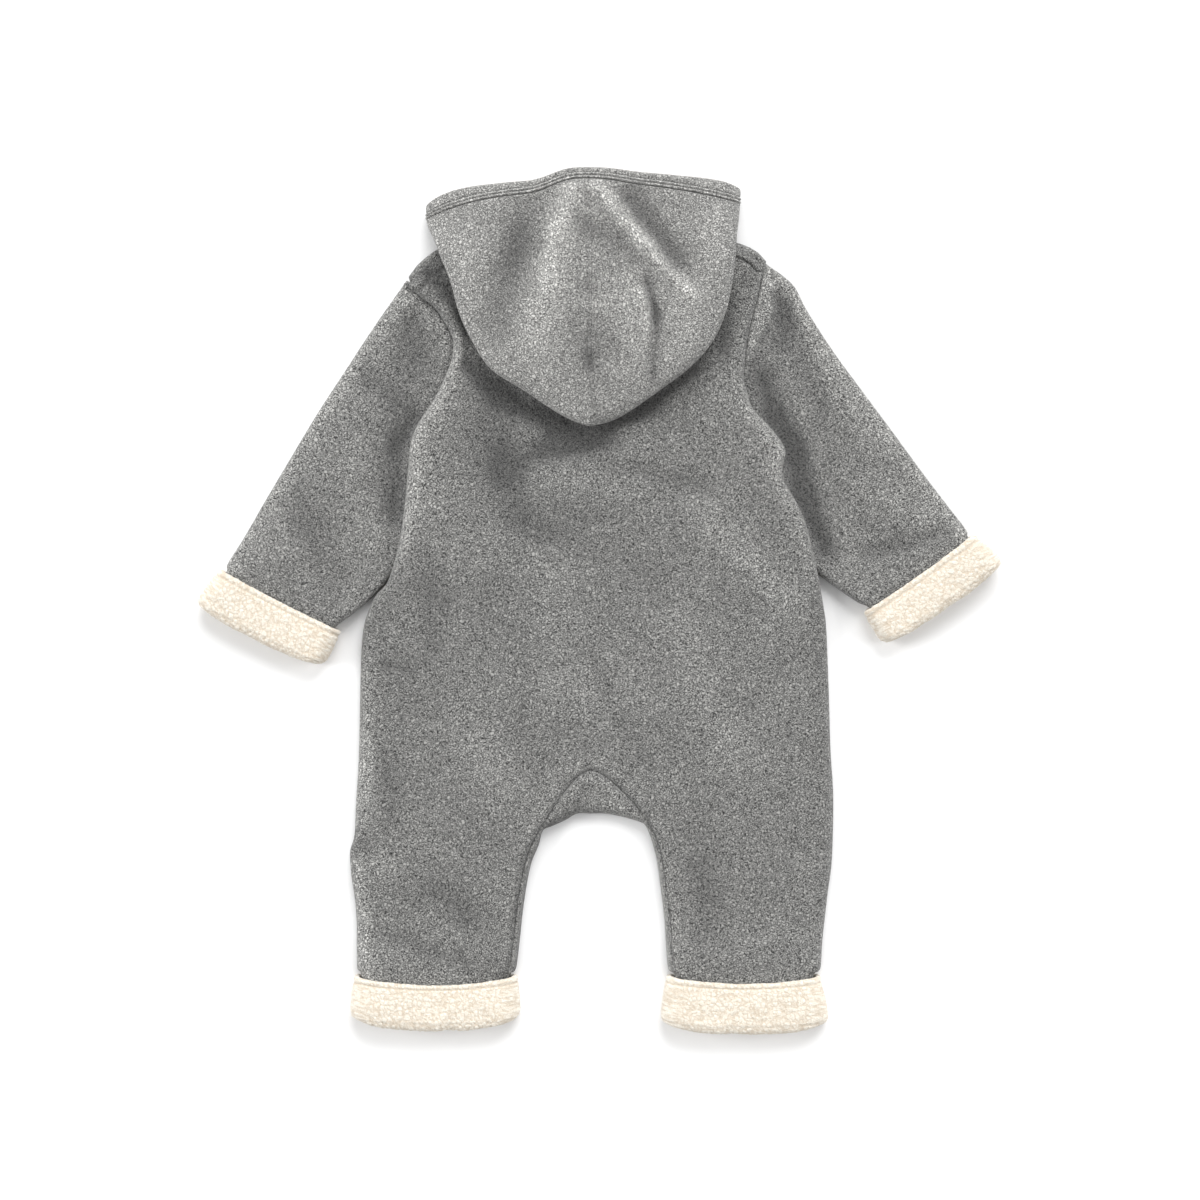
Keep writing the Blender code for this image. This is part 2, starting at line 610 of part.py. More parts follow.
def make_placket(finish):
    """The strip behind the front opening, which the snaps hold."""
    low, half = WALL + SEAM, PLACKET_WIDTH / 2
    rows = []
    for k in range(PLACKET_ROWS + 1):
        y = mix(PLACKET_ENDS[0], PLACKET_ENDS[1], k / PLACKET_ROWS)
        rows.append([(CENTRE_X - half, y, low), (CENTRE_X + half, y, low),
                     (CENTRE_X + half, y, low + PLACKET_THICK), (CENTRE_X - half, y, low + PLACKET_THICK)])
    bm = bmesh.new()
    grid = add_grid(bm, rows, closed=True)
    bm.faces.new(grid[0])
    bm.faces.new(grid[-1])
    bmesh.ops.recalc_face_normals(bm, faces=bm.faces)
    return add_object("placket", bm, finish)


def disc(name, y, radius, bottom, top, finish):
    bm = bmesh.new()
    bmesh.ops.create_cone(bm, cap_ends=True, segments=16, radius1=radius, radius2=radius, depth=top - bottom)
    bmesh.ops.translate(bm, vec=(SNAP_X, y, (top + bottom) / 2), verts=bm.verts)
    return add_object(name, bm, finish)


def make_snaps(front, finish):
    """Flat snap caps, each pressed into the outer side of the front that it closes."""
    for number, y in enumerate(SNAP_YS, 1):
        disc(f"snap_{number}", y, SNAP_RADIUS, SNAP_LIFT, SNAP_LIFT + SNAP_THICK, finish)
        pocket = disc(f"pocket_{number}", y, SNAP_RADIUS + SNAP_POCKET, -SNAP_THICK,
                      SNAP_THICK + 2 * SNAP_LIFT, finish)
        pocket.hide_render = True
        pocket.display_type = "WIRE"
        cut = front.modifiers.new(f"pocket_{number}", "BOOLEAN")
        cut.object = pocket
        cut.operation = "DIFFERENCE"
        cut.solver = "EXACT"


# ---- sleeves and cuffs ------------------------------------------------------------------------
def flat_ring(point_at, length, low, high, loft=0.0, square=1.0):
    """A flattened ring across a limb: round at its two ends, flat below and lofted above.

    point_at gives the place of a share of the way across; length is the distance across.
    square is 1 for round lower corners and less for squarer ones."""
    radius = (high - low) / 2.0
    middle = (high + low) / 2.0
    end = radius / length
    corner = []
    for k in range(RING_ARC + 1):
        angle = -math.pi / 2 + math.pi * k / RING_ARC
        power = square if angle < -0.01 else 1.0
        inset = end * (1.0 - abs(math.cos(angle)) ** power)
        corner.append((inset, middle + math.copysign(radius * abs(math.sin(angle)) ** power, angle)))
    ring = [(*point_at(inset), z) for inset, z in corner]
    for k in range(1, RING_TOP):
        t = k / RING_TOP
        ring.append((*point_at(mix(end, 1.0 - end, t)), high + loft * loft_share(t)))
    ring += [(*point_at(1.0 - inset), z) for inset, z in corner[::-1]]
    for k in range(1, RING_BOTTOM):
        ring.append((*point_at(mix(1.0 - end, end, k / RING_BOTTOM)), low))
    return ring


def loft_share(t):
    """How a sleeve's loft lies across it: none on the inner part, which the body lies on."""
    return math.sin(math.pi * t / LOFT_SHARE) if t < LOFT_SHARE else 0.0


def make_sleeve(name, table, finish):
    bm = bmesh.new()
    rows = []
    run = []
    for row in table:
        across = Vector((row.inner_x - row.outer_x, row.inner_y - row.outer_y, 0.0))
        rows.append(flat_ring(lambda s, r=row: armhole_point(r, s), across.length, row.low,
                              row.low + SLEEVE_TOP, row.loft))
        run.append(Vector((-across.y, across.x, 0.0)).normalized())
    grid = add_grid(bm, rows, closed=True)
    along = {vert: run[i] for i, row in enumerate(grid) for vert in row}
    turn_outwards(bm, up=True)
    thicken(bm, WALL, lambda vert: -level(vert.normal, along[vert]))
    return add_object(name, bm, finish)


def cuff_profile():
    """The section of a turned-up cuff: the share of the way from hem to fold, and how far it stands
    off the limb. It runs down the outside, round the fold, up inside the limb and back in the slot."""
    outer, inner = SEAM + WALL, -WALL
    centre, radius = (outer + inner) / 2.0, (outer - inner) / 2.0
    profile = [(0.0, outer), (CUFF_MIDDLE, outer), (CUFF_TURN, outer)]
    for k in range(1, CUFF_ARC):
        angle = math.pi / 2 - math.pi * k / CUFF_ARC
        reach = CUFF_TURN + (1.0 - CUFF_TURN) * math.cos(angle)
        profile.append((reach, centre + radius * math.sin(angle)))
    profile += [(CUFF_TURN, inner), (CUFF_SEAM, inner), (CUFF_SEAM, 0.0), (CUFF_TURN, 0.0)]
    return profile + [(CUFF_TURN, SEAM), (CUFF_MIDDLE, SEAM), (0.0, SEAM)]


def cuff_ring(cuff, share, stand_off):
    """A ring of a cuff at a share of the way from its hem to its fold."""
    a, b = (Vector(start).lerp(Vector(end), share)
            for start, end in ((cuff.hem_a, cuff.fold_a), (cuff.hem_b, cuff.fold_b)))
    across = (b - a).normalized()
    down = (Vector(cuff.fold_a) - Vector(cuff.hem_a)).normalized()
    past_seam = max(0.0, share - CUFF_SEAM) / (1.0 - CUFF_SEAM)
    rounded = cuff.round * (1.0 - math.sqrt(1.0 - min(1.0, past_seam) ** 2))
    a -= across * (stand_off + CUFF_EASE - rounded)
    b += across * (stand_off + CUFF_EASE - rounded)

    def point_at(s):
        from_middle = abs(2.0 * s - 1.0)
        sag = cuff.sag * (1.0 - from_middle ** 2) * max(0.0, 1.0 - share / CUFF_SEAM)
        turned = smooth_step((share - CUFF_SEAM) / (CUFF_TURN - CUFF_SEAM))
        return a.lerp(b, s) + down * (sag - cuff.corner * from_middle ** CORNER_POWER * turned)

    return flat_ring(point_at, (b - a).length, HEM_LIFT - stand_off, cuff.high + stand_off,
                     square=cuff.square)


def make_cuff(name, cuff, finish):
    rings = [cuff_ring(cuff, share, stand_off) for share, stand_off in cuff_profile()]
    bm = bmesh.new()
    add_grid(bm, rings + rings[:1], closed=True)
    bmesh.ops.remove_doubles(bm, verts=bm.verts, dist=SAME_POINT)
    bmesh.ops.recalc_face_normals(bm, faces=bm.faces)
    return add_object(name, bm, finish)


# ---- hood -------------------------------------------------------------------------------------
def hood_row(row, outward):
    """A row of one hood half: over the top to the side fold, round it, and in under the hood."""
    centre_x = CENTRE_X + outward * SEAM / 2
    width = max(0.0, outward * (row.side_x - centre_x))
    side_x = centre_x + outward * width
    points = []
    for j in range(HOOD_UPPER):
        angle = math.pi / 2 * j / HOOD_UPPER
        u = math.sin(angle)
        peak = row.peak * math.exp(-(u / PEAK_WIDTH) ** PEAK_POWER)
        y = mix(row.top_y - row.peak, row.side_y, u ** row.sweep) + peak
        z = row.side_z + (row.top_z - row.side_z) * math.cos(angle) ** DOME_POWER
        points.append((mix(centre_x, side_x, u), y, z))
    curl = min(row.radius, width)
    for j in range(HOOD_CURL + 1):
        angle = math.pi / 2 * j / HOOD_CURL
        inset = curl * (1.0 - math.cos(angle))
        share = inset / width if width > 0.01 else math.sin(angle)
        z = row.side_z - row.radius * math.sin(angle)
        points.append((side_x - outward * inset, mix(row.side_y, row.low_y, share), z))
    start = Vector(points[-1])
    end = Vector((centre_x, row.low_y, row.low_z))
    return points + [tuple(start.lerp(end, j / HOOD_LOWER)) for j in range(1, HOOD_LOWER + 1)]


def edge_inward(path):
    """The wall's direction at each point of a path that runs clockwise as the feet see it."""
    directions = []
    for i in range(len(path)):
        before, after = path[max(i - 1, 0)], path[min(i + 1, len(path) - 1)]
        directions.append(Vector((after[2] - before[2], 0.0, before[0] - after[0])).normalized())
    return directions


def make_hood_half(name, table, outward, finish):
    """A hood half. Its wall is square to the centre seam there, and to the band at the face edge."""
    bm = bmesh.new()
    rows = [hood_row(spline(table, i / HOOD_ROWS), outward) for i in range(HOOD_ROWS + 1)]
    grid = add_grid(bm, rows)
    seam = {row[k] for row in grid for k in (0, -1)} | set(grid[-1])
    face_edge = {vert: run * outward for vert, run in zip(grid[0], edge_inward(rows[0]))}
    turn_outwards(bm, up=True)

    def inward(vert):
        direction = face_edge.get(vert, -vert.normal)
        return level(direction, SIDEWAYS) if vert in seam else direction

    thicken(bm, WALL, inward)
    return add_object(name, bm, finish)


def make_binding(finish):
    """The band that continues the hood to its face edge, all the way round the opening."""
    left = hood_row(LEFT_HOOD[0], -1.0)
    right = hood_row(RIGHT_HOOD[0], 1.0)
    path = left[::-1][:-1] + [(CENTRE_X, left[0][1], left[0][2])] + right[1:]
    across = [min(1.0, j / HOOD_UPPER) for j in range(len(left))]
    widths = [at_key(BAND, math.sin(math.pi / 2 * share)).width for share in across]
    widths = widths[::-1] + widths[1:]
    rows = []
    for share in (0.0, 0.5, 1.0):
        rows.append([(x, y + SEAM + width * share, z - BAND_DROP * share * z)
                     for (x, y, z), width in zip(path, widths)])
    bm = bmesh.new()
    directions = edge_inward(path)
    run = {vert: directions[j] for row in add_grid(bm, rows) for j, vert in enumerate(row)}
    turn_outwards(bm, up=True)
    thicken(bm, WALL, lambda vert: run[vert])
    return add_object("hood_binding", bm, finish)


# ---- the whole garment ------------------------------------------------------------------------
def build():
    for old in list(bpy.data.objects):
        bpy.data.objects.remove(old, do_unlink=True)
    fleece = material("fleece", FLEECE, 0.95)
    hood_fleece = material("hood_fleece", FLEECE_HOOD, 0.95)
    pile = material("pile", PILE, 1.0)
    snap = material("snap", SNAP, 0.45)
    make_back(fleece)
    make_gusset(fleece)
    front = make_front("front_left", LEFT_SIDE, LEFT_INSEAM, LEFT_SLEEVE, LEFT_FRONT_TIP, LEFT_RISE, fleece)
    make_front("front_right", RIGHT_SIDE, RIGHT_INSEAM, RIGHT_SLEEVE, RIGHT_FRONT_TIP, RIGHT_RISE, fleece)
    make_placket(fleece)
    make_snaps(front, snap)
    make_sleeve("sleeve_left", LEFT_SLEEVE, fleece)
    make_sleeve("sleeve_right", RIGHT_SLEEVE, fleece)
    for name, cuff in CUFFS.items():
        make_cuff(name, cuff, pile)
    make_hood_half("hood_left", LEFT_HOOD, -1.0, hood_fleece)
    make_hood_half("hood_right", RIGHT_HOOD, 1.0, hood_fleece)
    make_binding(hood_fleece)


build()
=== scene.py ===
# %% [markdown]
# # A hooded fleece overall for a baby, laid flat on its front
# The overall is sewn from bonded cloth: pebbled grey fleece outside and curly cream pile inside. It lies
# empty on a flat surface with its back up and its hood folded back onto the back, and its sleeves and legs
# end in cuffs that are turned up so that the pile shows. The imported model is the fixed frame: each solid
# of cloth is replaced here by a piece with a finer surface, with its folds, seams and finish. The snaps
# keep their solids.

# %% Load the frame
import math
from collections import namedtuple

import bmesh
import bpy
from mathutils import Matrix, Vector, noise


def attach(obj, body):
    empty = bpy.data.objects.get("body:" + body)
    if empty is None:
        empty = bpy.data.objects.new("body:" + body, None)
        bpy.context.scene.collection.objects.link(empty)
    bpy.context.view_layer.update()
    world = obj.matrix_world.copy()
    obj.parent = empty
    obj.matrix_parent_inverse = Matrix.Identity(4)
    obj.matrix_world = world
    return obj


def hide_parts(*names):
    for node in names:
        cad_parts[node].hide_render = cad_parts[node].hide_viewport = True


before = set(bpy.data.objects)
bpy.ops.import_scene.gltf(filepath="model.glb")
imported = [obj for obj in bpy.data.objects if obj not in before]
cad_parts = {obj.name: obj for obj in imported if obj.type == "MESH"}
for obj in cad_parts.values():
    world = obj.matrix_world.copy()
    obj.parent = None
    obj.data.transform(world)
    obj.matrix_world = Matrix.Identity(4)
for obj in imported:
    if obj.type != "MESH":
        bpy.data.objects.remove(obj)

bpy.ops.object.select_all(action="DESELECT")
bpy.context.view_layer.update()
print("nodes:", ", ".join(sorted(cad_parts)))

# %% [markdown]
# ## Curves through short tables
# A sewn piece is an outline with cloth between its edges. Each outline is a short table in millimetres, the
# same one that its solid was built from, and a smooth curve is drawn through the rows of the table. That
# gives as many points as the cloth needs, and it keeps each piece where its solid is. Left and right are
# the wearer's, which are -X and +X because the garment lies on its front.

# %% Curves
MM = 0.001
CENTRE_X = -7.0          # the garment's centre line, mm
WALL = 4.5               # fleece bonded to its pile reverse
SEAM = 0.35              # room left between two pieces that are sewn together
SAME_POINT = 0.01        # points nearer than this are one
FAR = 99.0               # a distance at which a seam or an edge no longer matters
DOWN = Vector((0.0, 0.0, -1.0))
HEADWARD = Vector((0.0, 1.0, 0.0))
SIDEWAYS = Vector((1.0, 0.0, 0.0))


def smooth_step(t):
    t = min(1.0, max(0.0, t))
    return t * t * (3.0 - 2.0 * t)


def mix(a, b, t):
    return a + (b - a) * t


def steps(start, end, count):
    """count evenly spaced values that end at end, without the start itself."""
    return [mix(start, end, k / count) for k in range(1, count + 1)]


def shares(fine_end, fine, coarse):
    """Shares from 0 to 1: close together up to fine_end, where a seam or a rim is, and wider past it."""
    return [0.0] + steps(0.0, fine_end, fine) + steps(fine_end, 1.0, coarse)


def table(kind, *rows):
    """A table whose rows have the named columns of a kind."""
    return [kind(*row) for row in rows]


def spline(rows, t):
    """The values of a table at t, from 0 at its first row to 1 at its last, on a smooth curve."""
    place = min(max(t, 0.0), 1.0) * (len(rows) - 1)
    i = min(int(place), len(rows) - 2)
    f = place - i
    before, start = rows[max(i - 1, 0)], rows[i]
    end, after = rows[i + 1], rows[min(i + 2, len(rows) - 1)]
    values = []
    for a, b, c, d in zip(before, start, end, after):
        bend = (2 * a - 5 * b + 4 * c - d) * f * f + (3 * b - a - 3 * c + d) * f ** 3
        values.append(b + 0.5 * ((c - a) * f + bend))
    return type(start)(*values)


def at_key(rows, key):
    """The values of a table at a value of its first column, on a smooth curve."""
    sign = 1.0 if rows[-1][0] > rows[0][0] else -1.0
    i = 0
    while i < len(rows) - 2 and (key - rows[i + 1][0]) * sign > 0:
        i += 1
    f = min(1.0, max(0.0, (key - rows[i][0]) / (rows[i + 1][0] - rows[i][0])))
    return spline(rows, (i + f) / (len(rows) - 1))


# %% [markdown]
# ## Folds, one by one
# Bonded fleece is thick, so it makes few folds, and they are broad and soft. Each one here is a short line
# with a depth and a width: below zero it is a trough, above zero a ridge. A little smooth noise adds the
# slight unevenness that any cloth laid down by hand has. The folds change only the outer side, and the
# inner side stays where the solid has it, so that the layers never touch.

# %% Fold heights
Fold = namedtuple("Fold", "x0 y0 x1 y1 depth width")
END_FADE = 0.7           # a fold fades past its ends this much more slowly than it does to its sides
FADED = 9.0              # squared widths from its line at which nothing is left of a fold
RIPPLES = ((0.75, 46.0, 3.1), (0.36, 19.0, 7.7), (0.16, 9.0, 5.2))   # height, length and place of the noise


def fold_sum(folds, x, y):
    """What a list of folds adds to a height at a point. Their far ends fade out, so none ends abruptly."""
    height = 0.0
    for fold in folds:
        dx, dy = fold.x1 - fold.x0, fold.y1 - fold.y0
        length = math.hypot(dx, dy)
        along = ((x - fold.x0) * dx + (y - fold.y0) * dy) / length
        across = ((x - fold.x0) * dy - (y - fold.y0) * dx) / length
        past = max(0.0, -along, along - length) * END_FADE
        reach = (across * across + past * past) / fold.width ** 2
        if reach < FADED:
            height += fold.depth * math.exp(-reach)
    return height


def ripple(x, y):
    """The slight unevenness of cloth that was laid down by hand."""
    return sum(height * noise.noise(Vector((x / size, y / size, place))) for height, size, place in RIPPLES)


def dip(distance, width):
    """A dip along a line: 1 on the line and nearly 0 at twice the width from it."""
    return math.exp(-(distance / width) ** 2)


def relief(lines, distance):
    """The low relief beside a seam: each line is a height, its distance from the seam, and a width."""
    return sum(height * dip(distance - place, width) for height, place, width in lines)


# %% [markdown]
# ## Cloth with a thickness
# Every piece is made in the same way. Rows of points make a grid of quads, which is the outer side of the
# cloth. Each point then gets a partner on the inner side, and a rim closes the edges. Blender's Solidify
# modifier does nearly this, but it follows the surface's own normals everywhere, and at a seam the wall has
# to stay square to the seam so that two neighbours keep clear of each other. So the direction is given.

# %% Grids and walls
DEEPEST = 3.6            # no fold dips deeper than this, so that some of the wall is left
FULL_SHADING_FOLD = 4.0           # the fold at which the painted shade in a hollow, and the painted highlight on a ridge, are at full strength


class Cloth:
    """A piece of cloth in the making: its mesh, and what its folds add to each point's height."""

    def __init__(self):
        self.mesh = bmesh.new()
        self.lay = self.mesh.verts.layers.float.new("lay")
        self.fold = {}

    def add_point(self, x, y, z, fold, raised=0.0):
        """A point of the outer side. Its fold is also kept as an attribute that the fleece's colour follows,
        as painted shade in the hollows and a painted highlight on the ridges.

        The last argument is painted light along a rounded edge: a highlight above zero, painted shade below
        it."""
        fold = max(-DEEPEST, fold)
        vert = self.mesh.verts.new((x, y, z + fold))
        # the fold and the edge's value paint shade and highlight into the fleece's colour
        vert[self.lay] = fold / FULL_SHADING_FOLD + raised
        self.fold[vert] = fold
        return vert

    def grid(self, rows, closed=False):
        """Quads between rows of points (x, y, z, fold[, raised]). Returns the rows of vertices."""
        made = [[self.add_point(*point) for point in row] for row in rows]
        count = len(made[0])
        for upper, lower in zip(made, made[1:]):
            for j in range(count if closed else count - 1):
                k = (j + 1) % count
                self.mesh.faces.new((upper[j], lower[j], lower[k], upper[k]))
        return made

    def turn_outwards(self, up=True):
        """Turns all faces so that the highest one (or the lowest, if not up) faces outwards."""
        bm = self.mesh
        bmesh.ops.remove_doubles(bm, verts=bm.verts, dist=SAME_POINT)
        bmesh.ops.recalc_face_normals(bm, faces=bm.faces)
        bm.normal_update()
        sign = 1.0 if up else -1.0
        probe = max(bm.faces, key=lambda f: sign * f.calc_center_median().z + abs(f.normal.z))
        if probe.normal.z * sign < 0:
            bmesh.ops.reverse_faces(bm, faces=bm.faces)
        bm.normal_update()

    def thicken(self, inward, wall=lambda vert: WALL):
        """Adds the inner side and the rims. inward and wall give a vertex its direction and thickness."""
        bm = self.mesh
        outer = list(bm.faces)
        rim = [edge for edge in bm.edges if edge.is_boundary]
        inner = {}
        for vert in list(bm.verts):
            base = vert.co - Vector((0.0, 0.0, self.fold[vert]))
            inner[vert] = bm.verts.new(base + inward(vert) * wall(vert))
        for edge in rim:
            a, b = edge.verts
            if edge.link_loops[0].vert is not a:
                a, b = b, a
            bm.faces.new((b, a, inner[a], inner[b]))
        for face in outer:
            bm.faces.new([inner[vert] for vert in reversed(face.verts)]).material_index = 1
        bm.normal_update()


def level(normal, along):
    """A direction turned square to a row's own run, so that cloth thickens across the row alone."""
    return (normal - along * normal.dot(along)).normalized()


def finish_piece(name, bm, materials, node=None):
    """Turns a mesh in millimetres into a finished piece that rides on the garment's one body."""
    bmesh.ops.scale(bm, vec=(MM, MM, MM), verts=bm.verts)
    mesh = bpy.data.meshes.new(name)
    bm.to_mesh(mesh)
    bm.free()
    mesh.shade_smooth()
    for material in materials:
        mesh.materials.append(material)
    piece = bpy.data.objects.new(name, mesh)
    bpy.context.scene.collection.objects.link(piece)
    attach(piece, "root")
    if node:
        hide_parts(node)
    triangles = sum(len(face.vertices) - 2 for face in mesh.polygons)
    half = sum(face.area for face in mesh.polygons) / 2
    print(f"{name}: {triangles} triangles, {half:.4f} m2 of cloth")
    return piece


# %% [markdown]
# ## The surface of fleece and of pile
# Fleece is knitted, then brushed and tumbled until its fibres curl up into pebbles 1.5 to 2 mm wide with
# dark cracks between them. An image would stretch or repeat, so the pebbles are the cells of a Voronoi
# texture, and the distance to a cell's edge is their height. Its place is warped by fine noise, which draws
# the cells out into short winding curls. The same height makes the colour and the bump, so the two always
# agree. The group is built once, and each material places it with its own size and strength.

# %% Grain group
CELL_RANDOMNESS = 0.9    # 1 scatters the pebbles freely, 0 puts them on a square grid
WARP_SCALE = 520.0       # the warp that draws pebbles out into curls: its waves per metre
WARP_REACH = 0.0036      # and how far it moves a point, m
FULL_HEIGHT = 0.24       # a pebble is at its full height this share of a cell away from its crack
CLOUD_SCALE = 22.0       # slow cloudiness: its patches per metre
CLOUD_DETAIL = 3.0
CLOUD_ROUGH = 0.55


def new_group(name, inputs, outputs):
    """An empty shader node group with named number inputs and outputs."""
    group = bpy.data.node_groups.new(name, "ShaderNodeTree")
    for side, labels in (("INPUT", inputs), ("OUTPUT", outputs)):
        for label in labels:
            group.interface.new_socket(label, in_out=side, socket_type="NodeSocketFloat")
    return group


def add_noise(tree, vector, scale, detail, rough=0.5):
    node = tree.nodes.new("ShaderNodeTexNoise")
    for label, value in (("Scale", scale), ("Detail", detail), ("Roughness", rough)):
        node.inputs[label].default_value = value
    tree.links.new(vector, node.inputs["Vector"])
    return node


def make_grain():
    """Pebbles of a given number per metre: their height, and a slow cloudiness of the cloth."""
    group = new_group("pebble_grain", ["Pebbles"], ["Height", "Cloud"])
    source = group.nodes.new("NodeGroupInput")
    result = group.nodes.new("NodeGroupOutput")
    place = group.nodes.new("ShaderNodeTexCoord").outputs["Object"]
    warp = add_noise(group, place, WARP_SCALE, 0.0)
    warped = group.nodes.new("ShaderNodeVectorMath")
    warped.operation = "MULTIPLY_ADD"
    warped.inputs[1].default_value = (WARP_REACH, WARP_REACH, WARP_REACH)
    group.links.new(warp.outputs["Color"], warped.inputs[0])
    group.links.new(place, warped.inputs[2])
    cells = group.nodes.new("ShaderNodeTexVoronoi")
    cells.feature = "DISTANCE_TO_EDGE"
    cells.inputs["Randomness"].default_value = CELL_RANDOMNESS
    group.links.new(warped.outputs["Vector"], cells.inputs["Vector"])
    group.links.new(source.outputs["Pebbles"], cells.inputs["Scale"])
    height = group.nodes.new("ShaderNodeMapRange")
    height.inputs["From Max"].default_value = FULL_HEIGHT
    group.links.new(cells.outputs["Distance"], height.inputs["Value"])
    group.links.new(height.outputs["Result"], result.inputs["Height"])
    cloud = add_noise(group, place, CLOUD_SCALE, CLOUD_DETAIL, CLOUD_ROUGH)
    group.links.new(cloud.outputs["Fac"], result.inputs["Cloud"])
    return group


grain = make_grain()
print("grain group:", grain.name)

# %% [markdown]
# ## The fleece and pile materials
# The same cloth is darker in its cracks and lighter on its pebbles. Its colour is also painted lighter on
# every ridge and darker in every hollow, as painted highlight and painted shade that follow the folds kept
# with each point, and some rounded edges get painted light of their own. The nap catches light at grazing
# angles too, which is what sheen is for. The sheen is a plain number on the shader's own socket, so the
# exported model keeps it. The pile is the cream side. Its curls are real geometry on the cuffs, so its
# material adds only the fibres on each curl and a warmer tone deep in between. The hood's fleece has a
# paler colour than the body's, which is painted light for the light that the hood faces.

# %% Materials
def add_ramp(tree, value, low, high, dark, light):
    """Mixes two colours as a value goes from low to high."""
    spread = tree.nodes.new("ShaderNodeMapRange")
    spread.inputs["From Min"].default_value = low
    spread.inputs["From Max"].default_value = high
    tree.links.new(value, spread.inputs["Value"])
    blend = tree.nodes.new("ShaderNodeMix")
    blend.data_type = "RGBA"
    blend.inputs["A"].default_value = (*dark, 1.0)
    blend.inputs["B"].default_value = (*light, 1.0)
    tree.links.new(spread.outputs["Result"], blend.inputs["Factor"])
    return blend.outputs["Result"]


def add_bump(tree, height, strength, distance):
    bump = tree.nodes.new("ShaderNodeBump")
    bump.inputs["Strength"].default_value = strength
    bump.inputs["Distance"].default_value = distance
    tree.links.new(height, bump.inputs["Height"])
    return bump.outputs["Normal"]


SHEEN_ROUGH = 0.6


def new_material(name, rough, sheen=0.0, specular=0.2):
    material = bpy.data.materials.new(name)
    material.use_nodes = True
    shader = material.node_tree.nodes["Principled BSDF"]
    shader.inputs["Roughness"].default_value = rough
    shader.inputs["Sheen Weight"].default_value = sheen
    shader.inputs["Sheen Roughness"].default_value = SHEEN_ROUGH
    shader.inputs["Specular IOR Level"].default_value = specular
    return material, material.node_tree, shader


def add_product(tree, a, b):
    """One colour times another."""
    both = tree.nodes.new("ShaderNodeMix")
    both.data_type = "RGBA"
    both.blend_type = "MULTIPLY"
    both.inputs["Factor"].default_value = 1.0
    tree.links.new(a, both.inputs["A"])
    tree.links.new(b, both.inputs["B"])
    return both.outputs["Result"]


def scale_colour(colour, factor):
    return tuple(channel * factor for channel in colour)


def grey(value):
    return (value, value, value)


def add_grain(tree, pebbles):
    """Places the grain group with a number of pebbles per metre. Gives its outputs, Height and Cloud."""
    place = tree.nodes.new("ShaderNodeGroup")
    place.node_tree = grain
    place.inputs["Pebbles"].default_value = pebbles
    return place.outputs


def read_attribute(tree, name):
    node = tree.nodes.new("ShaderNodeAttribute")
    node.attribute_name = name
    return node.outputs["Fac"]


# %% Fleece
FLEECE_PEBBLES = 540.0   # per metre
PEBBLE_SPAN = (0.1, 0.62)      # heights between which a pebble's colour goes from dark to light
LIGHT_SHARE = 0.56       # a pebble is lighter than the mean by this share of what a crack is darker
CLOUD_SPAN = (0.3, 0.7)
CLOUD_TONES = (0.94, 1.06)
PAINTED_SHADING_SPAN = (-0.9, 1.1)   # from full painted shade in a hollow to full painted highlight on a ridge
PAINTED_SHADING_TONES = (0.34, 1.50)


def make_fleece(name, colour, contrast):
    """Pebbled fleece of a mean colour, with a painted highlight on its ridges and painted shade in its
    hollows.
    """
    material, tree, shader = new_material(name, rough=0.95, sheen=0.35)
    pebbles = add_grain(tree, FLEECE_PEBBLES)
    lay = read_attribute(tree, "lay")
    tone = add_ramp(tree, pebbles["Height"], *PEBBLE_SPAN, scale_colour(colour, 1.0 - contrast),
                    scale_colour(colour, 1.0 + LIGHT_SHARE * contrast))
    cloud = add_ramp(tree, pebbles["Cloud"], *CLOUD_SPAN, *map(grey, CLOUD_TONES))
    # painted shade and highlight from the folds and the edges
    painted_shading_tone = add_ramp(tree, lay, *PAINTED_SHADING_SPAN, *map(grey, PAINTED_SHADING_TONES))
    tree.links.new(add_product(tree, add_product(tree, tone, cloud), painted_shading_tone), shader.inputs["Base Color"])
    bump = add_bump(tree, pebbles["Height"], strength=1.0, distance=0.0008)
    tree.links.new(bump, shader.inputs["Normal"])
    return material


fleece = make_fleece("fleece", (0.238, 0.236, 0.226), contrast=0.97)
# the hood is the same fleece with a paler colour, which is painted light for the light that the hood faces
hood_fleece = make_fleece("hood_fleece", (0.355, 0.351, 0.337), contrast=0.8)

# %% Pile, thread and snaps
PILE_PEBBLES = 500.0
PLAIN_PEBBLES = 600.0
CURL_SPAN = (0.0, 0.45)  # depths between which a curl's colour goes from deep to light
FIBRE_SPAN = (0.3, 0.7)
FIBRE_DARK = (0.88, 0.86, 0.83)
UNEVEN = 0.12            # how much lighter and darker a plain finish gets from place to place


def make_pile(name, deep, light):
    """Curly pile: warm between the curls and nearly white on them. The mesh says how deep a point is."""
    material, tree, shader = new_material(name, rough=1.0, sheen=0.25)
    depth = read_attribute(tree, "curl")
    height = add_grain(tree, PILE_PEBBLES)["Height"]
    curl_tone = add_ramp(tree, depth, *CURL_SPAN, deep, light)
    fibres = add_ramp(tree, height, *FIBRE_SPAN, FIBRE_DARK, grey(1.0))
    tree.links.new(add_product(tree, curl_tone, fibres), shader.inputs["Base Color"])
    tree.links.new(add_bump(tree, height, strength=0.5, distance=0.0006), shader.inputs["Normal"])
    return material


def make_plain(name, colour, rough, specular=0.3):
    """A thread or a snap: one colour, slightly uneven."""
    material, tree, shader = new_material(name, rough, specular=specular)
    height = add_grain(tree, PLAIN_PEBBLES)["Height"]
    tree.links.new(add_ramp(tree, height, *FIBRE_SPAN, scale_colour(colour, 1.0 - UNEVEN),
                            scale_colour(colour, 1.0 + UNEVEN)), shader.inputs["Base Color"])
    tree.links.new(add_bump(tree, height, strength=0.15, distance=0.0002), shader.inputs["Normal"])
    return material


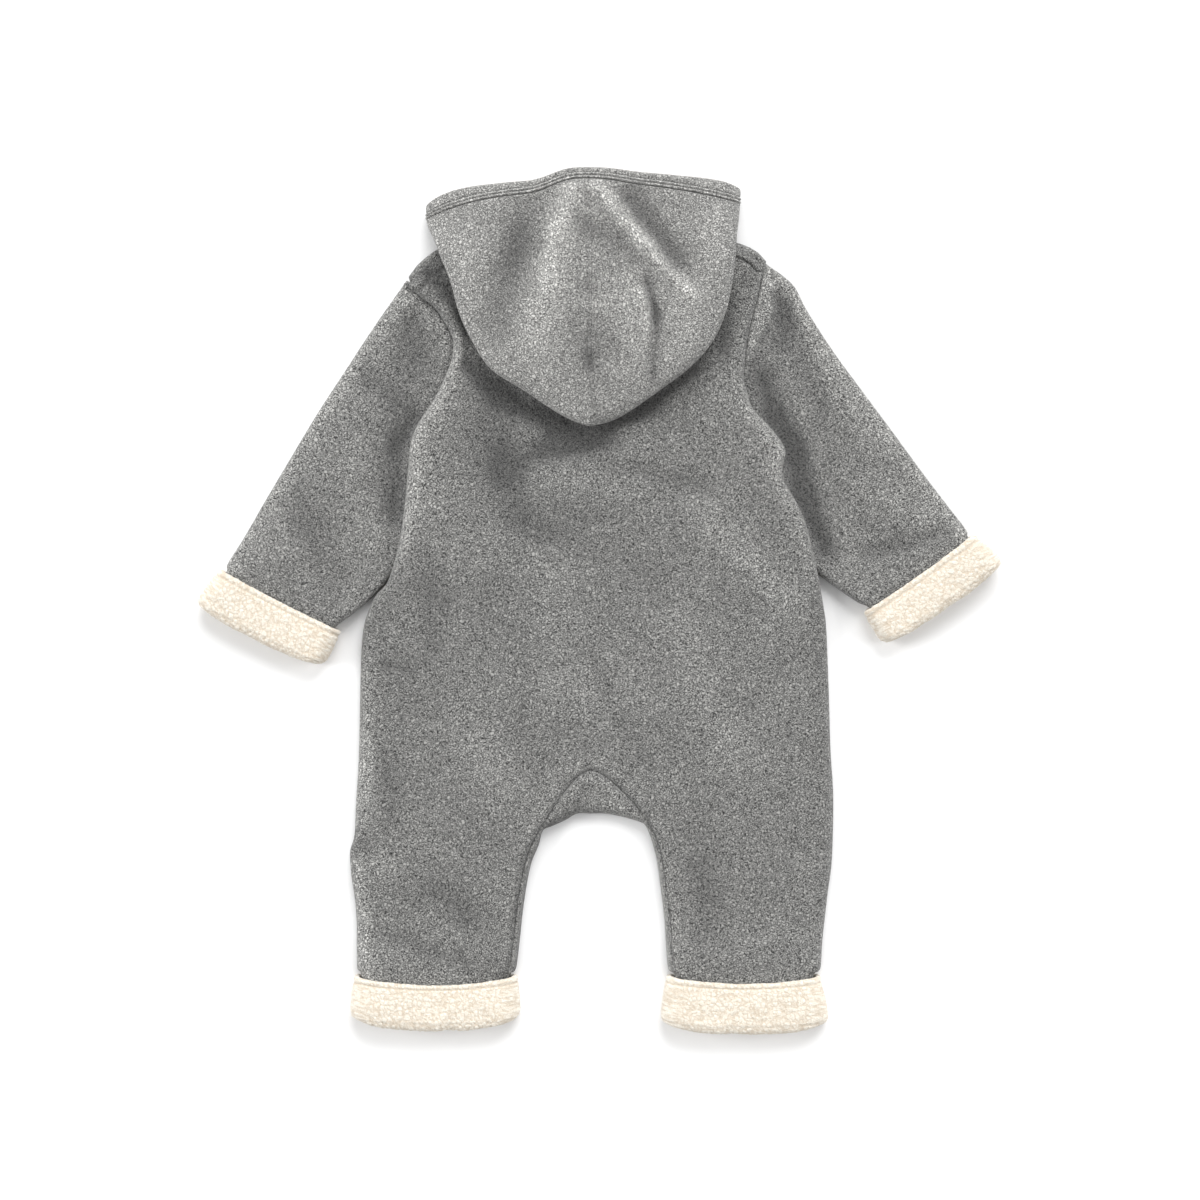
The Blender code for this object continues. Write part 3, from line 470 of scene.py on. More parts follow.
pile = make_pile("pile", deep=(0.64, 0.55, 0.44), light=(0.825, 0.777, 0.69))
thread = make_plain("thread", (0.11, 0.11, 0.106), rough=0.8)
snap_finish = make_plain("snap", (0.33, 0.32, 0.31), rough=0.45, specular=0.5)
print("materials:", ", ".join(m.name for m in (fleece, hood_fleece, pile, thread, snap_finish)))

# %% [markdown]
# ## The back
# The back is one panel from the neck to both ankles. Its side edges roll over the sleeves and down to the
# surface, which gives the bright rounded edges of a garment laid flat, and painted light along them makes
# them brighter still, with painted shade on a few stretches. It is drawn as two halves that meet on the
# centre line. Each half is a stack of rows, and each row runs from the centre, or from the inner leg, out
# to the side fold, round it and down to the rim. The rows stand close together where the panel is sewn to
# the gusset, because the cloth dips there.

# %% Outline of the back
PANEL_TOP = 12.9         # outside of the back panel over the fronts
YOKE_TOP = 15.0          # the same at the neck and shoulders, over the turned shoulder
SLEEVE_TOP = 9.8         # an empty sleeve pressed flat
EDGE_ROUND = 8.0         # outside radius of a side fold
HEM_LIFT = 4.85          # a hem is held this high by the cuff turned up under it
TOP_SHARE = 0.85         # share of that lift that reaches the upper side
RIM_SHARE = 1.25         # a rim at the hem clears the rounded lower corner of the cuff
HEM_RISE = (-234.0, -264.0)   # the legs rise to it between these y
YOKE_SHARE = 0.3         # the neck's curve fades out over this share of the torso
CREST_SHARE = 0.55       # a row rises to its crest over this outer share of its width
FLAT_SHARE = 0.07        # and the folds fade out over this one

# A side edge of the back: its x at each y, the height of its crest, and how low its rim comes.
# The rim lies on the sleeve from the shoulder to the waist and comes down to the floor below that. The
# first row runs on past the solid's corner, so that the corners of the shoulders lap the turned strip.
Side = namedtuple("Side", "y x crest base")
LEFT_SIDE = table(Side,
    (233, -145.5, 15.7, 10.2),
    (228, -140.5, 15.7, 10.2),
    (219, -129, 15.7, 10.2),
    (211, -119, 15.7, 10.2),
    (201, -112, 15.8, 10.2),
    (189, -106, 15.9, 10.2),
    (176, -106, 16.2, 10.2),
    (162, -111, 16.6, 10.2),
    (151, -116, 17.0, 10.2),
    (139, -123, 17.6, 10.2),
    (127, -131, 18.0, 10.2),
    (114, -136, 18.2, 10.2),
    (94, -138, 18.2, 10.2),
    (72, -140, 18.0, 10.2),
    (44, -144, 17.6, 10.2),
    (15, -152, 16.8, 10.2),
    (4, -161, 16.2, 10.2),
    (-7, -166.5, 15.2, 7.0),
    (-18, -170, 14.2, 2.0),
    (-36, -172, 13.4, 0.0),
    (-72, -173, 13.2, 0.0),
    (-115, -174, 13.2, 0.0),
    (-147, -176, 13.2, 0.0),
    (-169, -177, 13.2, 0.0),
    (-180, -180, 13.2, 0.0),
    (-190, -180, 13.2, 0.0),
    (-201, -179, 13.2, 0.0),
    (-223, -176, 13.2, 0.0),
    (-255, -175, 13.2, 0.0),
    (-265.5, -174.6, 13.2, 0.0),
    (-270, -171.8, 13.2, 0.0),
    (-293.5, -171.8, 13.2, 0.0),
)
RIGHT_SIDE = table(Side,
    (246, 122.2, 15.7, 10.2),
    (240, 120, 15.7, 10.2),
    (232, 117, 15.7, 10.2),
    (218, 114, 15.7, 10.2),
    (195, 108, 15.8, 10.2),
    (174, 105, 15.9, 10.2),
    (160, 104, 16.2, 10.2),
    (149, 107, 16.6, 10.2),
    (139, 110, 17.0, 10.2),
    (127, 121, 17.6, 10.2),
    (116, 130, 18.0, 10.2),
    (107, 134, 18.2, 10.2),
    (97, 132, 18.0, 10.2),
    (86, 133, 17.8, 10.2),
    (71, 142, 17.8, 10.2),
    (54, 149, 17.6, 10.2),
    (34, 154, 17.0, 10.2),
    (17, 158, 16.4, 10.2),
    (6, 160, 15.4, 7.0),
    (-5, 162, 14.4, 2.0),
    (-22, 164, 13.4, 0.0),
    (-74, 166, 13.2, 0.0),
    (-108, 167, 13.2, 0.0),
    (-143, 169, 13.2, 0.0),
    (-187, 168, 13.2, 0.0),
    (-211, 165, 13.2, 0.0),
    (-246, 161, 13.2, 0.0),
    (-265.5, 159.2, 13.2, 0.0),
    (-270, 154.5, 13.2, 0.0),
    (-293.5, 154.5, 13.2, 0.0),
)

# The inner side of each leg, from the top of the crotch arch to the ankle: the seam between the back
# and the gusset, the outer edge of the gusset, and the y on the leg's outer side at the same row.
Inseam = namedtuple("Inseam", "seam_x seam_y edge_x edge_y side_y")
LEFT_INSEAM = table(Inseam,
    (CENTRE_X, -122, CENTRE_X, -154, -128),
    (-15, -126, -16, -154, -134),
    (-24, -136, -25, -159, -143),
    (-33, -149, -34, -163, -154),
    (-41, -162, -41, -166.5, -166),
    (-48, -174, -44, -177, -177),
    (-53, -187, -49, -189, -189),
    (-57, -205, -52.5, -205, -206),
    (-60, -225, -55.5, -225, -226),
    (-62, -244, -57.5, -244, -244),
    (-65, -265.5, -60.2, -265.5, -265.5),
    (-68.5, -270, -64.2, -270, -270),
    (-68.7, -293.5, -64.4, -293.5, -293.5),
)
RIGHT_INSEAM = table(Inseam,
    (CENTRE_X, -122, CENTRE_X, -154, -128),
    (2, -125, 4, -154, -134),
    (13, -134, 15, -156, -142),
    (24, -145, 26, -159, -152),
    (32, -156, 32.5, -162, -163),
    (39, -167, 36.5, -170, -172),
    (43.5, -178, 39.6, -180, -183),
    (46, -190, 42, -191, -194),
    (51, -226, 46.5, -226, -228),
    (52.5, -246, 48, -246, -247),
    (54.3, -265.5, 49.6, -265.5, -265.5),
    (58.2, -270, 53.8, -270, -270),
    (58.4, -293.5, 54, -293.5, -293.5),
)

# The neck and shoulder edge of one half, from the centre (0) to the arm (1): its height above a
# straight line between those two points.
NECK_Y = 250.0
NECK_STEP = 1.5          # the back's edge is this far below the front's
LEFT_TIP = (-137.0, 228.0)
RIGHT_TIP = (119.0, 241.5)
LEFT_FRONT_TIP = (-136.4, 229.4)
RIGHT_FRONT_TIP = (119.5, 240.5)
Rise = namedtuple("Rise", "share height")
LEFT_RISE = table(Rise,
    (0, 0),
    (0.23, 6),
    (0.46, 12),
    (0.65, 16),
    (0.8, 18.5),
    (0.9, 12.5),
    (0.96, 6.5),
    (1, 0),
)
RIGHT_RISE = table(Rise,
    (0, 0),
    (0.25, 4),
    (0.53, 9),
    (0.74, 13),
    (0.88, 10.5),
    (0.96, 5.5),
    (1, 0),
)
NECK_LAP = 2.0           # the finished edge laps this much farther over the turned shoulder

# %% Folds of the back
# Painted light along the side folds: at each y, how strong a painted highlight there is. Below zero it is
# painted shade there.
Rim = namedtuple("Rim", "y raised")
EDGE_SHADING_WIDTH = 5.0          # the painted light fades out over this distance from the fold
INNER_EDGE_SHADING = 0.5          # a painted highlight this strong along the right inner leg, and painted shade as strong along the left one
LEFT_EDGE_SHADING = table(Rim,
    (240, 0.0), (205, 0.3), (185, 1.0), (120, 1.1), (60, 1.0), (10, 0.1), (-40, 0.0), (-80, 0.6), (-130, 1.0),
    (-160, 0.8), (-174, -0.3), (-190, 0.7), (-270, 1.0),
)
RIGHT_EDGE_SHADING = table(Rim,
    (245, 0.0), (165, 0.2), (140, 0.8), (110, 1.0), (90, 0.8), (60, 0.5), (20, 0.1), (-10, -0.2), (-60, -0.1),
    (-100, -0.1), (-270, 0.0),
)
# The troughs along the hood's lower edges and at its left edge by the shoulder lie where shade falls from the
# hood, and through the colour that follows the folds they paint that shade as well.
BACK_FOLDS = table(Fold,
    (-120, 230, -101, 200, -4.6, 11),
    (-95, 169, -69, 146, -3.8, 8),
    (-69, 146, -29, 128, -4.2, 9),
    (-29, 128, -5, 123, -4.2, 9),
    (2, 126, 28, 136, -3.4, 5.5),
    (28, 136, 66, 165, -3.2, 5),
    (93, 215, 89, 180, -2.2, 6),
    (-12, 116, -34, 111, -2.4, 8),
    (-14, 112, -40, 107, -1.4, 9),
    (-40, 107, -66, 94, -1.4, 10),
    (-24, 112, 0, 116, -3.6, 8),
    (-76, 128, -70, 100, -1.7, 19),
    (-70, 100, -60, 62, -1.8, 15),
    (-60, 56, -40, 50, -1.0, 9),
    (-42, 84, 10, 80, 0.8, 12),
    (-17, 60, 14, 60, -1.0, 10),
    (14, 96, 76, 80, -1.5, 6),
    (20, 150, 60, 128, -1.2, 16),
    (-34, 44, 36, 18, -1.2, 12),
    (-102, 5, -63, 4, -0.7, 11),
    (-122, 12, -121, -34, -1.5, 11),
    (-168, -46, -140, -50, -2.0, 5),
    (-158, -112, -151, -152, -1.6, 12),
    (-57, -74, -54, -124, -0.9, 5),
    (-8, -36, 16, -90, -0.9, 5),
    (16, -90, 38, -120, -0.9, 5),
    (-114, -212, -96, -226, -1.9, 11),
    (-158, -240, -95, -262, -1.6, 7),
    (-176, -170, -170, -182, -2.6, 7),
    (-172, -186, -150, -196, 1.6, 9),
    (74, -194, 80, -235, -1.7, 13),
    (76, 62, 134, -3, 2.2, 12),
    (-35, 20, -20, -60, 1.0, 22),
    (60, -20, 90, -90, 1.0, 20),
    (-90, -95, -60, -150, 1.0, 18),
    (-120, 60, -100, 20, 1.2, 14),
    (84, 190, 70, 150, -1.0, 9),
)


def body_fold(x, y):
    return fold_sum(BACK_FOLDS, x, y) + ripple(x, y)


def hem_lift(y):
    return HEM_LIFT * smooth_step((HEM_RISE[0] - y) / (HEM_RISE[0] - HEM_RISE[1]))


# %% [markdown]
# A seam shows as a narrow dip with the cloth standing up a little on both sides of it. The dip depends only
# on the distance to the seam line, so the distance to a line of points is all that is needed.

# %% Crotch seam
LEG_STEPS = 72           # rows along each leg
LEG_TOP = -150.0         # the legs part from here on down, and what belongs to the crotch fades out
LEG_FADE = 50.0          # over this length
CROTCH_TOP = -100.0      # above this y the gusset's seam changes nothing
SEAM_REACH = 16.0        # nor does it farther than this from the line
SEAM_RELIEF = ((-1.5, 0.0, 1.7), (0.6, 6.0, 4.0))   # height, distance from the seam, width
LEFT_SEAM_FADE = 0.4     # share of that relief that is gone along the left leg
RIGHT_SEAM_FADE = 0.8


def inseam_rows(count):
    """The rows along both inner legs, from the left ankle over the crotch to the right ankle."""
    left = [spline(LEFT_INSEAM, i / count) for i in range(count + 1)]
    right = [spline(RIGHT_INSEAM, i / count) for i in range(1, count + 1)]
    return left[::-1] + right


def line_distance(x, y, line):
    """The distance from a point to a line of points."""
    best = math.inf
    for (x0, y0), (x1, y1) in zip(line, line[1:]):
        dx, dy = x1 - x0, y1 - y0
        t = min(1.0, max(0.0, ((x - x0) * dx + (y - y0) * dy) / (dx * dx + dy * dy)))
        best = min(best, math.hypot(x - x0 - t * dx, y - y0 - t * dy))
    return best


LINE_ROWS = 24           # rows along each leg that make a good enough line of the seam
CROTCH_LINE = [(row.seam_x, row.seam_y) for row in inseam_rows(LINE_ROWS)]


def crotch_dip(x, y):
    """The dip along the seam of the gusset, which fades out down the legs."""
    if y > CROTCH_TOP:
        return 0.0
    distance = line_distance(x, y, CROTCH_LINE)
    if distance > SEAM_REACH:
        return 0.0
    fade = LEFT_SEAM_FADE if x < CENTRE_X else RIGHT_SEAM_FADE
    return (1.0 - fade * smooth_step((LEG_TOP - y) / LEG_FADE)) * relief(SEAM_RELIEF, distance)


# %% Back panel
COLUMNS = shares(0.056, 7, 44)
TORSO_ROWS = shares(0.024, 16, 126)
EDGE_ARC = 9             # steps round a side fold
NECK_TURN = 2.6          # the neck's edge turns down by this much
NECK_TURN_WIDTH = 4.5    # over this width
SHOULDER_SEAM = ((-1.6, 6.0, 0.8),)   # the seam's dip: its height, distance from that edge, and width


def back_row(inner, side, yoke, rises, from_neck=FAR, inner_edge_shading=0.0):
    """One row of the back, from its inner end out to the side fold and down to the rim."""
    # painted light along the side fold, which is painted shade where its table is below zero
    raised = at_key(LEFT_EDGE_SHADING if side.x < CENTRE_X else RIGHT_EDGE_SHADING, side.y).raised
    rim_lift = hem_lift(side.y) * RIM_SHARE
    lift = hem_lift(side.y) * TOP_SHARE
    outward = math.copysign(1.0, side.x - CENTRE_X)
    radius = min(EDGE_ROUND, side.crest - side.base - SEAM)
    shoulder_x = side.x - outward * radius
    turn = -NECK_TURN * (1.0 - min(1.0, from_neck / NECK_TURN_WIDTH)) ** 2 + relief(SHOULDER_SEAM, from_neck)
    row = []
    for u in COLUMNS:
        x = mix(inner[0], shoulder_x, u)
        y = mix(inner[1], side.y, u) + yoke * at_key(rises, u).height
        flat = mix(PANEL_TOP, YOKE_TOP, smooth_step(yoke * yoke))
        z = mix(flat, side.crest, smooth_step((u - 1.0 + CREST_SHARE) / CREST_SHARE)) + lift
        near_edge = smooth_step((1.0 - u) / FLAT_SHARE)
        row.append((x, y, z, body_fold(x, y) * near_edge + crotch_dip(x, y) + turn,
                    raised * math.exp(-abs(shoulder_x - x) / EDGE_SHADING_WIDTH)
                    + inner_edge_shading * math.exp(-abs(x - inner[0]) / EDGE_SHADING_WIDTH)))
    for angle in steps(0.0, math.pi / 2, EDGE_ARC):
        x = shoulder_x + outward * radius * math.sin(angle)
        z = side.crest - radius * (1.0 - math.cos(angle)) + lift
        row.append((x, side.y, z, turn * math.cos(angle), raised))
    row.append((side.x, side.y, max(0.0, side.base) + rim_lift, 0.0, raised))
    return row


def back_half(cloth, sides, inseam, tip, rises):
    """Half of the back: the rows of the torso from the neck down, then those of the leg."""
    rows = []
    for v in TORSO_ROWS:
        yoke = max(0.0, 1.0 - v / YOKE_SHARE) ** 2
        inner = (CENTRE_X, mix(NECK_Y - NECK_STEP + NECK_LAP, inseam[0].seam_y, v))
        side_y = mix(tip[1] - NECK_STEP + NECK_LAP, inseam[0].side_y, v)
        from_neck = v * (NECK_Y - inseam[0].seam_y)
        rows.append(back_row(inner, at_key(sides, side_y), yoke, rises, from_neck))
    for i in range(1, LEG_STEPS + 1):
        leg = spline(inseam, i / LEG_STEPS)
        # a painted highlight along the right inner leg and painted shade along the left one
        inner_edge_shading = INNER_EDGE_SHADING * smooth_step((LEG_TOP - leg.seam_y) / LEG_FADE)
        rows.append(back_row((leg.seam_x, leg.seam_y), at_key(sides, leg.side_y), 0.0, rises,
                             inner_edge_shading=math.copysign(inner_edge_shading, leg.seam_x - CENTRE_X)))
    return cloth.grid(rows)


def make_back():
    cloth = Cloth()
    seam = set()
    for sides, inseam, tip, rises in ((LEFT_SIDE, LEFT_INSEAM, LEFT_TIP, LEFT_RISE),
                                      (RIGHT_SIDE, RIGHT_INSEAM, RIGHT_TIP, RIGHT_RISE)):
        grid = back_half(cloth, sides, inseam, tip, rises)
        seam |= {row[0] for row in grid[len(TORSO_ROWS) - 1:]}
    cloth.turn_outwards()
    cloth.thicken(lambda vert: DOWN if vert in seam else -level(vert.normal, HEADWARD))
    return finish_piece("back_cloth", cloth.mesh, (fleece, pile), "back_panel")


back = make_back()

# %% [markdown]
# ## The gusset
# The gusset is the narrow piece between the legs. It is a crescent in the crotch, where it fills the arch
# that is cut out of the back, and it runs down both inner legs as a strip. Each of its rows starts at the
# seam with the back, crosses the strip, rolls over the edge and ends on the surface below.

# %% Gusset
GUSSET_WALL = 2.4        # fleece pressed flat along the gusset
GUSSET_DROP = 9.5        # height of the gusset's rounded edge
GUSSET_FLAT = 0.1        # least flat width of the gusset beside its rounded edge
GUSSET_STEPS = 12        # steps across its flat part
GUSSET_EDGE_SHADING = 1.2         # painted shade along the left leg's edge and a painted highlight along the right one's, at this strength
CROTCH_HALF = 30.0       # from the centre line to where it does so fully
RIM_START = 0.3          # share of the gusset's width at which it begins to
GUSSET_FOLDS = table(Fold,
    (-10, -135, -15, -149, -1.1, 3),
    (8, -136, 12, -150, 0.8, 5),
)


def gusset_row(leg):
    """One row of the gusset, from the seam with the back, over its edge and down to the floor."""
    dx, dy = leg.edge_x - leg.seam_x, leg.edge_y - leg.seam_y
    width = math.hypot(dx, dy)
    dx, dy = dx / width, dy / width
    lift = hem_lift(leg.seam_y)
    across = min(EDGE_ROUND, width - SEAM - GUSSET_FLAT)
    top = PANEL_TOP + lift * TOP_SHARE
    # painted shade along the gusset's left leg edge and a painted highlight along its right one
    raised = GUSSET_EDGE_SHADING * max(-1.0, min(1.0, (leg.seam_x - CENTRE_X) / CROTCH_HALF))
    profile = [(reach, top, 1.0) for reach in [SEAM] + steps(SEAM, width - across, GUSSET_STEPS)]
    for k in range(1, EDGE_ARC + 1):
        angle = math.pi / 2 * k / EDGE_ARC
        profile.append((width - across * (1.0 - math.sin(angle)), top - GUSSET_DROP * (1.0 - math.cos(angle)),
                        math.cos(angle)))
    row = []
    for reach, height, share in profile:
        x, y = leg.seam_x + dx * reach, leg.seam_y + dy * reach
        fold = body_fold(x, y) + fold_sum(GUSSET_FOLDS, x, y) + crotch_dip(x, y)
        row.append((x, y, height, fold * share, raised * smooth_step((reach - RIM_START * width) / width)))
    row.append((leg.edge_x, leg.edge_y, lift * RIM_SHARE, 0.0, raised))
    return row


def make_gusset():
    cloth = Cloth()
    legs = inseam_rows(LEG_STEPS)
    run = {}
    for leg, row in zip(legs, cloth.grid([gusset_row(leg) for leg in legs])):
        across = Vector((leg.edge_x - leg.seam_x, leg.edge_y - leg.seam_y, 0.0)).normalized()
        run.update((vert, Vector((-across.y, across.x, 0.0))) for vert in row[GUSSET_STEPS + 1:])
    cloth.turn_outwards()
    cloth.thicken(lambda vert: -level(vert.normal, run[vert]) if vert in run else DOWN,
                  lambda vert: GUSSET_WALL)
    return finish_piece("gusset_cloth", cloth.mesh, (fleece, pile), "gusset")


gusset = make_gusset()

# %% [markdown]
# ## The sleeves
# An empty sleeve is a tube pressed flat, so its section is a ring with two round ends. Its rows run across
# the arm from the armhole, where the body lies over it, to the hem inside the cuff. The upper layer rises a
# little on its outer part and carries the arm's folds, which fade out under the body's edge.

# %% Sleeve outlines and folds
LOFT_SHARE = 0.6         # a sleeve is lofted over this share of its width, clear of the body

# Sleeve sections from the armhole to the hem: the outer and the inner edge, how far the row bows
# towards the body, the height of its underside, and the loft of its upper layer over SLEEVE_TOP. At the
# shoulder the finished sleeve comes nearer to the turned strip than its solid does.
Sleeve = namedtuple("Sleeve", "outer_x outer_y inner_x inner_y bow low loft")
LEFT_SLEEVE = table(Sleeve,
    (-139.4, 231.4, -104, 120, 27, 0.0, 0.0),
    (-162.8, 198, -114, 104, 9, 0.0, 0.6),
    (-183.8, 166, -120, 82, 3, 0.0, 2.2),
    (-204.6, 134, -128, 61, 0, 0.0, 2.6),
    (-225, 100, -137, 40, 0, 0.0, 2.6),
    (-241, 73, -147, 22, 0, 0.0, 2.4),
    (-257, 45, -162, 4, 0, 1.2, 2.0),
    (-268, 26.8, -182.5, -13.3, 0, 4.2, 0.6),
    (-269, 20.5, -190.5, -19.7, 0, HEM_LIFT, 0.0),
    (-278.2, 4.2, -199.8, -34.6, 0, HEM_LIFT, 0.0),
)
RIGHT_SLEEVE = table(Sleeve,
    (120.6, 243.2, 108, 120, -11.5, 0.0, 0.0),
    (139.5, 228.5, 110, 111, -7, 0.0, 0.2),
    (150, 209.5, 112, 101, -4, 0.0, 0.6),
    (169, 180, 117, 80, 0, 0.0, 2.2),
    (191, 150, 125, 61, 0, 0.0, 2.6),
    (214, 119, 135, 43, 0, 0.0, 2.6),
    (233, 93, 147, 28, 0, 0.0, 2.4),
    (251, 69, 163, 15, 0, 1.2, 2.0),
    (264.3, 51.2, 185, -0.6, 0, 4.2, 0.6),
    (266, 45.4, 194.5, -5.3, 0, HEM_LIFT, 0.0),
    (276.4, 31, 204.9, -19.5, 0, HEM_LIFT, 0.0),
)

# The head of a sleeve stands beside the seam as a ridge: at each y, how far it reaches from the body's
# edge, the length of its outer slope, and its height over the rest of the sleeve.
Head = namedtuple("Head", "y reach slope lift")
LEFT_HEAD = table(Head,
    (232, 8, 18, 2.0),
    (215, 8, 18, 2.0),
    (198, 8, 18, 2.0),
    (186, 4, 14, 1.8),
    (172, 0, 8, 1.2),
    (160, -8, 6, 0.0),
)
RIGHT_HEAD = table(Head,
    (244, 7, 8, 3.6),
    (224, 6, 7, 3.6),
    (206, 11, 6, 3.6),
    (190, 6, 6, 3.6),
    (174, 0, 5, 2.4),
    (160, -8, 5, 0.0),
)
SLEEVE_EDGE_HIGHLIGHT = 0.85        # a painted highlight this strong along a sleeve's outer fold
SLEEVE_HIGHLIGHT_WIDTH = 6.5   # and the distance from it over which this fades out

LEFT_SLEEVE_FOLDS = table(Fold,
    (-137, 200, -135, 176, -2.6, 14),
    (-196, 180, -140, 138, -2.0, 9),
    (-134, 128, -146, 112, -2.0, 7),
    (-147, 116, -148, 66, -3.0, 9),
    (-177, 94, -170, 48, 1.6, 11),
    (-215, 60, -190, 20, -1.2, 12),
    (-240, 60, -225, 35, 1.0, 10),
    (-185, 40, -175, 10, 1.0, 9),
)
RIGHT_SLEEVE_FOLDS = table(Fold,
    (132, 214, 133, 190, -2.2, 8),
    (136, 212, 160, 138, -1.8, 7),
    (118, 158, 128, 130, -3.4, 8),
    (128, 130, 141, 106, -3.6, 8),
    (141, 106, 148, 74, -3.6, 9),
    (148, 74, 162, 40, -3.6, 9),
    (196, 34, 248, 49, -2.0, 6),
    (160, 180, 196, 116, 1.6, 12),
    (200, 75, 225, 60, 1.4, 11),
    (176, 50, 182, 18, 1.0, 8),
)

# %% Sleeves
SLEEVE_STEPS = shares(0.14, 30, 68)
RING_ARC = 10            # steps round each end of a ring
RING_TOP = 46            # steps across its upper side
RING_BOTTOM = 16
LEVEL_ANGLE = -0.01      # past this angle a ring's corner is an upper one


def armhole_point(row, s):
    """A point of a bowed sleeve row, from its outer edge (0) to its inner edge (1). The bow is a parabola."""
    dx, dy = row.inner_x - row.outer_x, row.inner_y - row.outer_y
    length = math.hypot(dx, dy)
    bow = row.bow * 4.0 * s * (1.0 - s)
    return (mix(row.outer_x, row.inner_x, s) - dy / length * bow,
            mix(row.outer_y, row.inner_y, s) + dx / length * bow)


def flat_ring(point_at, length, low, high, top_at=None, square=1.0, top=RING_TOP, bottom=RING_BOTTOM,
              raised=0.0):
    """A flattened ring across a limb: round at its two ends, flat below and lofted above.

    point_at gives the place of a share of the way across; length is the distance across; top_at gives
    the loft and the fold of the upper side. square is 1 for round lower corners, less for squarer ones.
    The last argument is a painted highlight round the outer end, which fades out along the upper side."""
    radius = (high - low) / 2.0
    middle = (high + low) / 2.0
    end = radius / length
    corner = []
    for k in range(RING_ARC + 1):
        angle = -math.pi / 2 + math.pi * k / RING_ARC
        power = square if angle < LEVEL_ANGLE else 1.0
        inset = end * (1.0 - abs(math.cos(angle)) ** power)
        corner.append((inset, middle + math.copysign(radius * abs(math.sin(angle)) ** power, angle)))
    ring = [(*point_at(inset), z, 0.0, raised) for inset, z in corner]
    for k in range(1, top):
        t = k / top
        share = mix(end, 1.0 - end, t)
        x, y = point_at(share)
        loft, fold = top_at(x, y, t) if top_at else (0.0, 0.0)
        ring.append((x, y, high + loft, fold, raised * math.exp((end - share) * length / SLEEVE_HIGHLIGHT_WIDTH)))
    ring += [(*point_at(1.0 - inset), z, 0.0) for inset, z in corner[::-1]]
    for k in range(1, bottom):
        ring.append((*point_at(mix(1.0 - end, end, k / bottom)), low, 0.0))
    return ring


# %% Sleeve surfaces
HEAD_START = 1.2         # the head's ridge begins this far under the body's edge
HEAD_SLOPE = 2.8         # and is full after this distance
FOLD_START = 3.0         # the same for the folds of the arm
FOLD_SLOPE = 5.0
END_SHARE = 0.12         # the folds fade out over this share of the width at either end
HEAD_END_SHARE = 0.06    # and the head's ridge over this one at the outer end
SLEEVE_PLACE = 300.0     # keeps a sleeve's unevenness apart from the body's


def head_ridge(head, y, clear):
    """The ridge of a sleeve's head at a distance from the body's edge."""
    place = at_key(head, y)
    outer = 1.0 - smooth_step((clear - place.reach) / place.slope)
    return place.lift * smooth_step((clear + HEAD_START) / HEAD_SLOPE) * outer


def make_sleeve(name, sections, folds, head, sides, node):
    cloth = Cloth()
    rows = []
    runs = []
    outward = math.copysign(1.0, sections[0].outer_x)
    for v in SLEEVE_STEPS:
        row = spline(sections, v)
        across = Vector((row.inner_x - row.outer_x, row.inner_y - row.outer_y, 0.0))
        low, loft = max(0.0, row.low), max(0.0, row.loft)

        def top_at(x, y, t):
            clear = outward * (x - at_key(sides, y).x)
            shown = smooth_step((clear + FOLD_START) / FOLD_SLOPE)
            shown *= smooth_step(t / END_SHARE) * smooth_step((1.0 - t) / END_SHARE)
            fold = (fold_sum(folds, x, y) + ripple(x + SLEEVE_PLACE, y)) * shown
            fold += head_ridge(head, y, clear) * smooth_step(t / HEAD_END_SHARE)
            return loft * math.sin(math.pi * min(1.0, t / LOFT_SHARE)), fold

        # the ring also gets a painted highlight along the sleeve's outer fold
        rows.append(flat_ring(lambda s: armhole_point(row, s), across.length, low, low + SLEEVE_TOP, top_at,
                              raised=SLEEVE_EDGE_HIGHLIGHT))
        runs.append(Vector((-across.y, across.x, 0.0)).normalized())
    grid = cloth.grid(rows, closed=True)
    along = {vert: runs[i] for i, row in enumerate(grid) for vert in row}
    cloth.turn_outwards()
    cloth.thicken(lambda vert: -level(vert.normal, along[vert]))
    return finish_piece(name, cloth.mesh, (fleece, pile), node)


sleeve_left = make_sleeve("sleeve_left_cloth", LEFT_SLEEVE, LEFT_SLEEVE_FOLDS, LEFT_HEAD, LEFT_SIDE,
                          "sleeve_left")
sleeve_right = make_sleeve("sleeve_right_cloth", RIGHT_SLEEVE, RIGHT_SLEEVE_FOLDS, RIGHT_HEAD, RIGHT_SIDE,
                           "sleeve_right")

# %% [markdown]
# ## The cuffs
# A cuff is the end of the limb turned up once, so that the pile side shows. Its section runs up from the
# free edge, which is round because it is hemmed, round the fold at the end of the limb and back inside. The
# curls are real geometry: the noise called Voronoi splits space into cells, and the distance between the
# two nearest cells is small only near a border, so it makes round tufts with narrow cracks. A bump alone
# would leave the outline smooth, and curly pile is recognised by its lumpy outline.

# %% Cuff sizes
CUFF_EASE = 0.4          # room between a cuff's sides and the limb in it
CUFF_SEAM = 0.66         # the cuff joins the limb's hem at this share of the way to its fold
CUFF_TURN = 0.84         # and starts to turn at this one
HEM_LINE = 4.6           # the hem's stitches are this far from the free edge
CORNER_POWER = 3.8       # how near to its ends the fold starts to draw back

